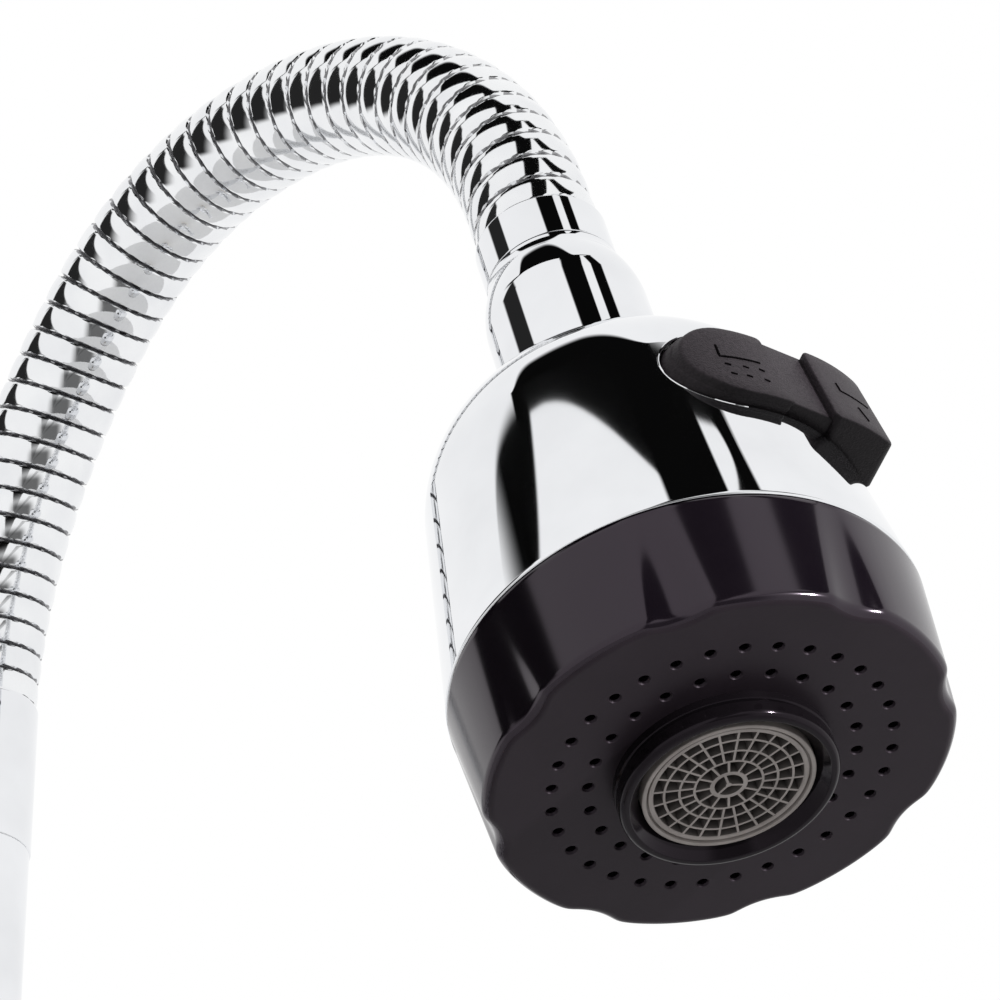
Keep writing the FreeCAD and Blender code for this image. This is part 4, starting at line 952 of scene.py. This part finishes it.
def make_signs():
    line, drops = SPRAY_SIGN
    shells = [sign_shell(line, 0.0)]
    across, up = DROP_HALF
    shells += [sign_shell([(y - across, z - up), (y + across, z + up)], 0.0) for y, z in drops]
    # the raised lines take a dark colour as painted shade of an engraving
    spray = many_shells("spray_sign", shells, SIGN_SHADE, HEAD)
    shells = [sign_shell(stroke, -ROCKER_TILT) for stroke in STREAM_SIGN]
    stream = many_shells("stream_sign", shells, SIGN_SHADE, HEAD)
    for sign in (spray, stream):
        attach(sign, "selector")


# Base

def make_stem():
    settle(lathe("stem_chrome", STEM, CHROME), "riser", "spout_stem")
    settle(lathe("ferrule_lower", LOWER_FERRULE, CHROME), "riser", "lower_ferrule")
    outline = SWIVEL_FOOT + bow(SWIVEL_SWEEP, SWEEP_STEPS)[:-1] + SWIVEL_TOP
    settle(lathe("collar_chrome", outline, CHROME), "base", "swivel_collar")


def make_body():
    outside = bow(BODY_FLARE, SWEEP_STEPS) + bow(BODY_SHOULDER, SHOULDER_STEPS)
    body = lathe("body_chrome", [(0, BODY_FOOT)] + outside + [(0, COLLAR_LOW)], CHROME)
    combine(body, lathe("boss", BODY_BOSS, CHROME, CART), "UNION")
    for bore, place in ((SHANK_SOCKET, Matrix()), (STEM_SOCKET, Matrix()), (CART_SOCKET, CART)):
        combine(body, lathe("bore", sleeve(0, *bore), CHROME, place, BORE_SEGMENTS), "DIFFERENCE")
    settle(body, "base", "faucet_body")
    settle(lathe("flange_chrome", FLANGE, CHROME), "base", "base_flange")


def thread_radius(angle, height):
    """Radius of the shank's thread, running out at its ends."""
    phase = height / THREAD_PITCH - angle / TURN
    away = abs(phase - round(phase)) * 2
    room = min(1.0, (height - SHANK_LOW) / THREAD_RUNOUT, (SHANK_TOP - height) / THREAD_RUNOUT)
    return SHANK_R - THREAD_DEPTH * (1 - away) - RUNOUT_DROP * THREAD_DEPTH * (1 - room)


def make_shank():
    rows = round((SHANK_TOP - SHANK_LOW) / THREAD_PITCH * THREAD_ROWS)
    rings = []
    for height in spread(SHANK_LOW, SHANK_TOP, rows):
        rings.append(shaped_ring(lambda angle: thread_radius(angle, height), height, SHANK_SEGMENTS))
    rings += [circle(SHANK_BORE_R, height, SHANK_SEGMENTS) for height in (SHANK_TOP, SHANK_LOW)]
    settle(ring_object("shank_thread", rings, BRASS, loop=True), "base", "threaded_shank")


def sphere_arc(radius, middle, start_r, end_r):
    """(radius, height) points on a sphere about the axis between two radii."""
    start, end = asin(start_r / radius), asin(end_r / radius)
    angles = spread(start, end, SHOULDER_STEPS)
    return [(radius * sin(angle), middle + radius * cos(angle)) for angle in angles]


def make_bonnet():
    inner = BONNET_R - BONNET_WALL
    inner_foot = sqrt(inner ** 2 - (BOSS_END - PIVOT_A) ** 2)
    outline = sphere_arc(BONNET_R, PIVOT_A, BOSS_R, BONNET_HOLE_R)
    outline += sphere_arc(inner, PIVOT_A, BONNET_HOLE_R, inner_foot)
    settle(lathe("bonnet_chrome", outline, CHROME, CART), "base", "bonnet")


def through_three(at, column):
    """The smooth curve through one size of the lever's three sections."""
    total = 0.0
    for i, section in enumerate(LEVER_SECTIONS):
        share = 1.0
        for j, other in enumerate(LEVER_SECTIONS):
            if i != j:
                share *= (at - other[0]) / (section[0] - other[0])
        total += share * section[column]
    return total


def arm_rings():
    rings = []
    low, high = LEVER_SECTIONS[0][0], LEVER_SECTIONS[-1][0]
    stations = spread(low, high - LEVER_TIP_ROUND, ARM_STEPS)[:-1]
    for angle in spread(0.0, QUARTER, ARM_TIP_STEPS):
        stations.append(high - LEVER_TIP_ROUND * (1 - sin(angle)))
    for reach in stations:
        past = max(0.0, (reach - high + LEVER_TIP_ROUND) / LEVER_TIP_ROUND)
        trim = LEVER_TIP_ROUND * (1 - sqrt(max(0.0, 1 - past ** 2)))
        half_t = max(ARM_LEAST, through_three(reach, 2) / 2 - trim * ARM_TIP_THIN)
        half_w = through_three(reach, 1) / 2 - trim - half_t
        ring = []
        for k in range(ARM_SIDES):
            angle = TURN * (k + 0.5) / ARM_SIDES
            side = half_w if cos(angle) > 0 else -half_w
            ring.append((side + half_t * cos(angle), -reach, half_t * sin(angle)))
        rings.append(ring)
    return rings


def make_lever():
    hollow = sphere_arc(HUB_HOLLOW_R, 0.0, HUB_BORE_R, HUB_LIP_R)
    outline = HUB_ROOF + hollow[:-1] + HUB_FOOT + bow(HUB_SWELL, SHOULDER_STEPS) + [(0, HUB_CROWN)]
    lever = lathe("lever_chrome", outline, CHROME, LEVER)
    lean = LEVER @ Matrix.Translation((0, 0, ARM_RISE)) @ Matrix.Rotation(ARM_LEAN, 4, "X")
    combine(lever, ring_object("lever_arm", arm_rings(), CHROME, lean), "UNION")
    middle = Matrix.Translation((0, 0, (HUB_HOLLOW_R + HUB_CROWN) / 2))
    across = LEVER @ middle @ Matrix.Rotation(-QUARTER, 4, "X")
    combine(lever, lathe("plug_bore", sleeve(0, *PLUG_BORE), CHROME, across, PIN_SEGMENTS), "DIFFERENCE")
    settle(lever, "lever", "lever")


# CAD pieces that show as they are

def dress_cad_nodes():
    for material, names in CAD_FINISH.items():
        for name in names:
            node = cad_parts[name]
            node.data.materials.clear()
            node.data.materials.append(material)


# Studio

def make_camera():
    data = bpy.data.cameras.new("photo_camera")
    data.lens = LENS
    data.sensor_width = SENSOR
    data.clip_start = CLIP_START
    camera = add_object("photo_camera", data)
    turn = Matrix((RIGHT, ABOVE, -VIEW)).transposed().to_4x4()
    camera.matrix_world = Matrix.Translation(CAMERA_AT) @ turn
    bpy.context.scene.camera = camera


def make_lamp(name, kind, power, place, pieces):
    """A small lamp that lights only some pieces."""
    data = bpy.data.lights.new(name, kind)
    data.energy = power
    data.shadow_soft_size = LAMP_SOFT
    lamp = add_object(name, data)
    lamp.location = place
    lit = bpy.data.collections.new(name + "_lights")
    for piece in pieces:
        lit.objects.link(bpy.data.objects[piece])
    lamp.light_linking.receiver_collection = lit
    return lamp


def make_rocker_lamps():
    """Narrow lamps on the rocker's pads, which the white room alone lights too evenly."""
    for name, towards, power in ROCKER_LAMPS:
        away = Vector(towards).normalized()
        place = (HEAD @ ROCKER_LAMP_AT) * MM + away * ROCKER_LAMP_AWAY
        lamp = make_lamp(name, "SPOT", power, place, ("rocker_pads",))
        lamp.data.spot_size = ROCKER_LAMP_CONE
        lamp.data.spot_blend = ROCKER_LAMP_BLEND
        lamp.visible_glossy = False
        lamp.rotation_euler = away.to_track_quat("Z", "Y").to_euler()


def make_strobe():
    """A lamp that shows as glints on the edges of the black mouldings."""
    place = HEAD.translation * MM + STROBE_TOWARDS * STROBE_AWAY
    make_lamp("edge_strobe", "POINT", STROBE_POWER, place, ("cap_moulding", "aerator_boss"))


def make_floor():
    pale = blend_material("pale_floor", (0.86, 0.86, 0.86), (0.9, 0.9, 0.9), (0.5, 0.6), 30.0)
    mesh = bpy.data.meshes.new("floor")
    rim = circle(FLOOR_R, FLOOR_Z, FLOOR_SIDES)
    mesh.from_pydata(rim, [], [tuple(range(FLOOR_SIDES))])
    mesh.materials.append(pale)
    add_object("floor", mesh)


class WorldMaths:
    """Builds the world's brightness from directions."""

    def __init__(self, tree):
        self.tree = tree
        self.where = add_node(tree, "TexCoord", {}).outputs["Generated"]

    def along(self, axis):
        inputs = {0: self.where, 1: axis}
        return add_node(self.tree, "VectorMath", inputs, operation="DOT_PRODUCT").outputs["Value"]

    def calc(self, operation, *values):
        return add_node(self.tree, "Math", dict(enumerate(values)), operation=operation).outputs["Value"]

    def times(self, *values):
        total = values[0]
        for value in values[1:]:
            total = self.calc("MULTIPLY", total, value)
        return total

    def line(self, value, factor, start):
        return self.calc("MULTIPLY_ADD", value, factor, start)

    def clamp(self, value, low, high):
        return self.calc("MINIMUM", self.calc("MAXIMUM", value, low), high)

    def inverse(self, value):
        return self.calc("SUBTRACT", 1.0, value)

    def step(self, value, edge):
        """0 below a soft edge and 1 above it."""
        inputs = {"Value": value, "From Min": edge[0], "From Max": edge[1]}
        return add_node(self.tree, "MapRange", inputs, interpolation_type="SMOOTHSTEP").outputs["Result"]

    def until(self, value, edge):
        return self.inverse(self.step(value, edge))

    def between(self, value, ends, soft):
        low, high = ((end - soft, end + soft) for end in ends)
        return self.times(self.step(value, low), self.until(value, high))

    def polynomial(self, factors, value):
        total = factors[0]
        for factor in factors[1:]:
            total = self.line(total, value, factor)
        return total


def dark_ceiling(maths, across, drift, front):
    reach = maths.line(maths.between(across, REACH_SPAN, REACH_SOFT), REACH_MORE, REACH_LEAST)
    behind = maths.step(maths.calc("DIVIDE", drift, reach), CEILING_BACK)
    left = maths.times(maths.step(across, CEILING_LEFT), maths.until(drift, CEILING_NEAR))
    left = maths.calc("MAXIMUM", left, maths.step(across, CEILING_MIDDLE))
    right = maths.until(maths.line(front, CEILING_FLARE, across), CEILING_RIGHT)
    fade = maths.line(maths.step(drift, FADE_EDGE), CEILING_FADE, CEILING_DARK)
    return maths.times(behind, left, right, fade)


def bright_panels(maths, across, drift, front):
    """A broad panel in the ceiling and a strip beside it."""
    over_edge = maths.calc("SUBTRACT", drift, maths.polynomial(PANEL_CURVE, across))
    panel = maths.times(maths.step(over_edge, PANEL_BACK), maths.until(across, PANEL_RIGHT),
                        maths.step(maths.line(drift, PANEL_SLANT, across), PANEL_LEFT))
    taper = maths.calc("MINIMUM", maths.calc("SUBTRACT", drift, TAPER_FROM), TAPER_MOST)
    strip_end = maths.line(front, STRIP_RIGHT_FLARE, across)
    strip_end = maths.line(maths.times(taper, taper), STRIP_TAPER, strip_end)
    strip_start = maths.line(front, STRIP_LEFT_FLARE, across)
    strip = maths.times(maths.step(strip_start, STRIP_LEFT), maths.until(strip_end, STRIP_RIGHT),
                        maths.step(drift, STRIP_FOOT))
    return maths.calc("MINIMUM", maths.calc("ADD", panel, strip), 1.0)


def dark_gear(maths):
    """A wall to the left, and the camera with what stands by it."""
    round_view = maths.calc("ARCTAN2", maths.along(RIGHT), maths.along(-VIEW))
    height = maths.calc("ARCSINE", maths.along(ABOVE))
    wall_fall = maths.calc("MAXIMUM", maths.calc("ADD", round_view, WALL_FALL_AT), 0.0)
    wall_top = maths.line(wall_fall, WALL_FALL, height)
    wall = maths.times(maths.step(round_view, WALL_LEFT), maths.until(round_view, WALL_RIGHT),
                       maths.step(height, WALL_FOOT), maths.until(wall_top, WALL_TOP), WALL_DARK)
    gear = maths.times(maths.between(round_view, GEAR_ROUND, GEAR_SOFT),
                       maths.between(height, GEAR_RISE, GEAR_SOFT), GEAR_DARK)
    return maths.calc("MAXIMUM", wall, gear)


def make_world():
    """A white studio, in which mirrors also see a dark ceiling with bright panels and dark gear."""
    world = bpy.data.worlds.new("studio")
    world.use_nodes = True
    bpy.context.scene.world = world
    maths = WorldMaths(world.node_tree)
    rise = maths.calc("MAXIMUM", maths.along(ABOVE), LEAST_RISE)
    across = maths.calc("DIVIDE", maths.along(RIGHT), rise)
    towards = maths.calc("DIVIDE", maths.along(-VIEW), rise)
    drift = maths.calc("SUBTRACT", towards, maths.polynomial(CURVE, maths.clamp(across, *CURVE_ENDS)))
    front = maths.clamp(drift, 0.0, 1.0)
    unlit = maths.inverse(bright_panels(maths, across, drift, front))
    shade = maths.times(dark_ceiling(maths, across, drift, front), unlit)
    level = maths.times(maths.inverse(shade), maths.inverse(dark_gear(maths)))
    rays = add_node(maths.tree, "LightPath", {})
    strength = maths.calc("MAXIMUM", level, rays.outputs["Is Camera Ray"])
    feed(maths.tree, maths.tree.nodes["Background"], {"Color": (1.0, 1.0, 1.0, 1.0), "Strength": strength})
    bpy.context.scene.view_settings.view_transform = "Standard"


make_camera()
make_neck()
make_bell()
make_cap()
make_aerator()
make_head_joint()
make_rocker()
make_stem()
make_body()
make_shank()
make_bonnet()
make_lever()
dress_cad_nodes()
make_floor()
make_rocker_lamps()
make_strobe()
make_world()
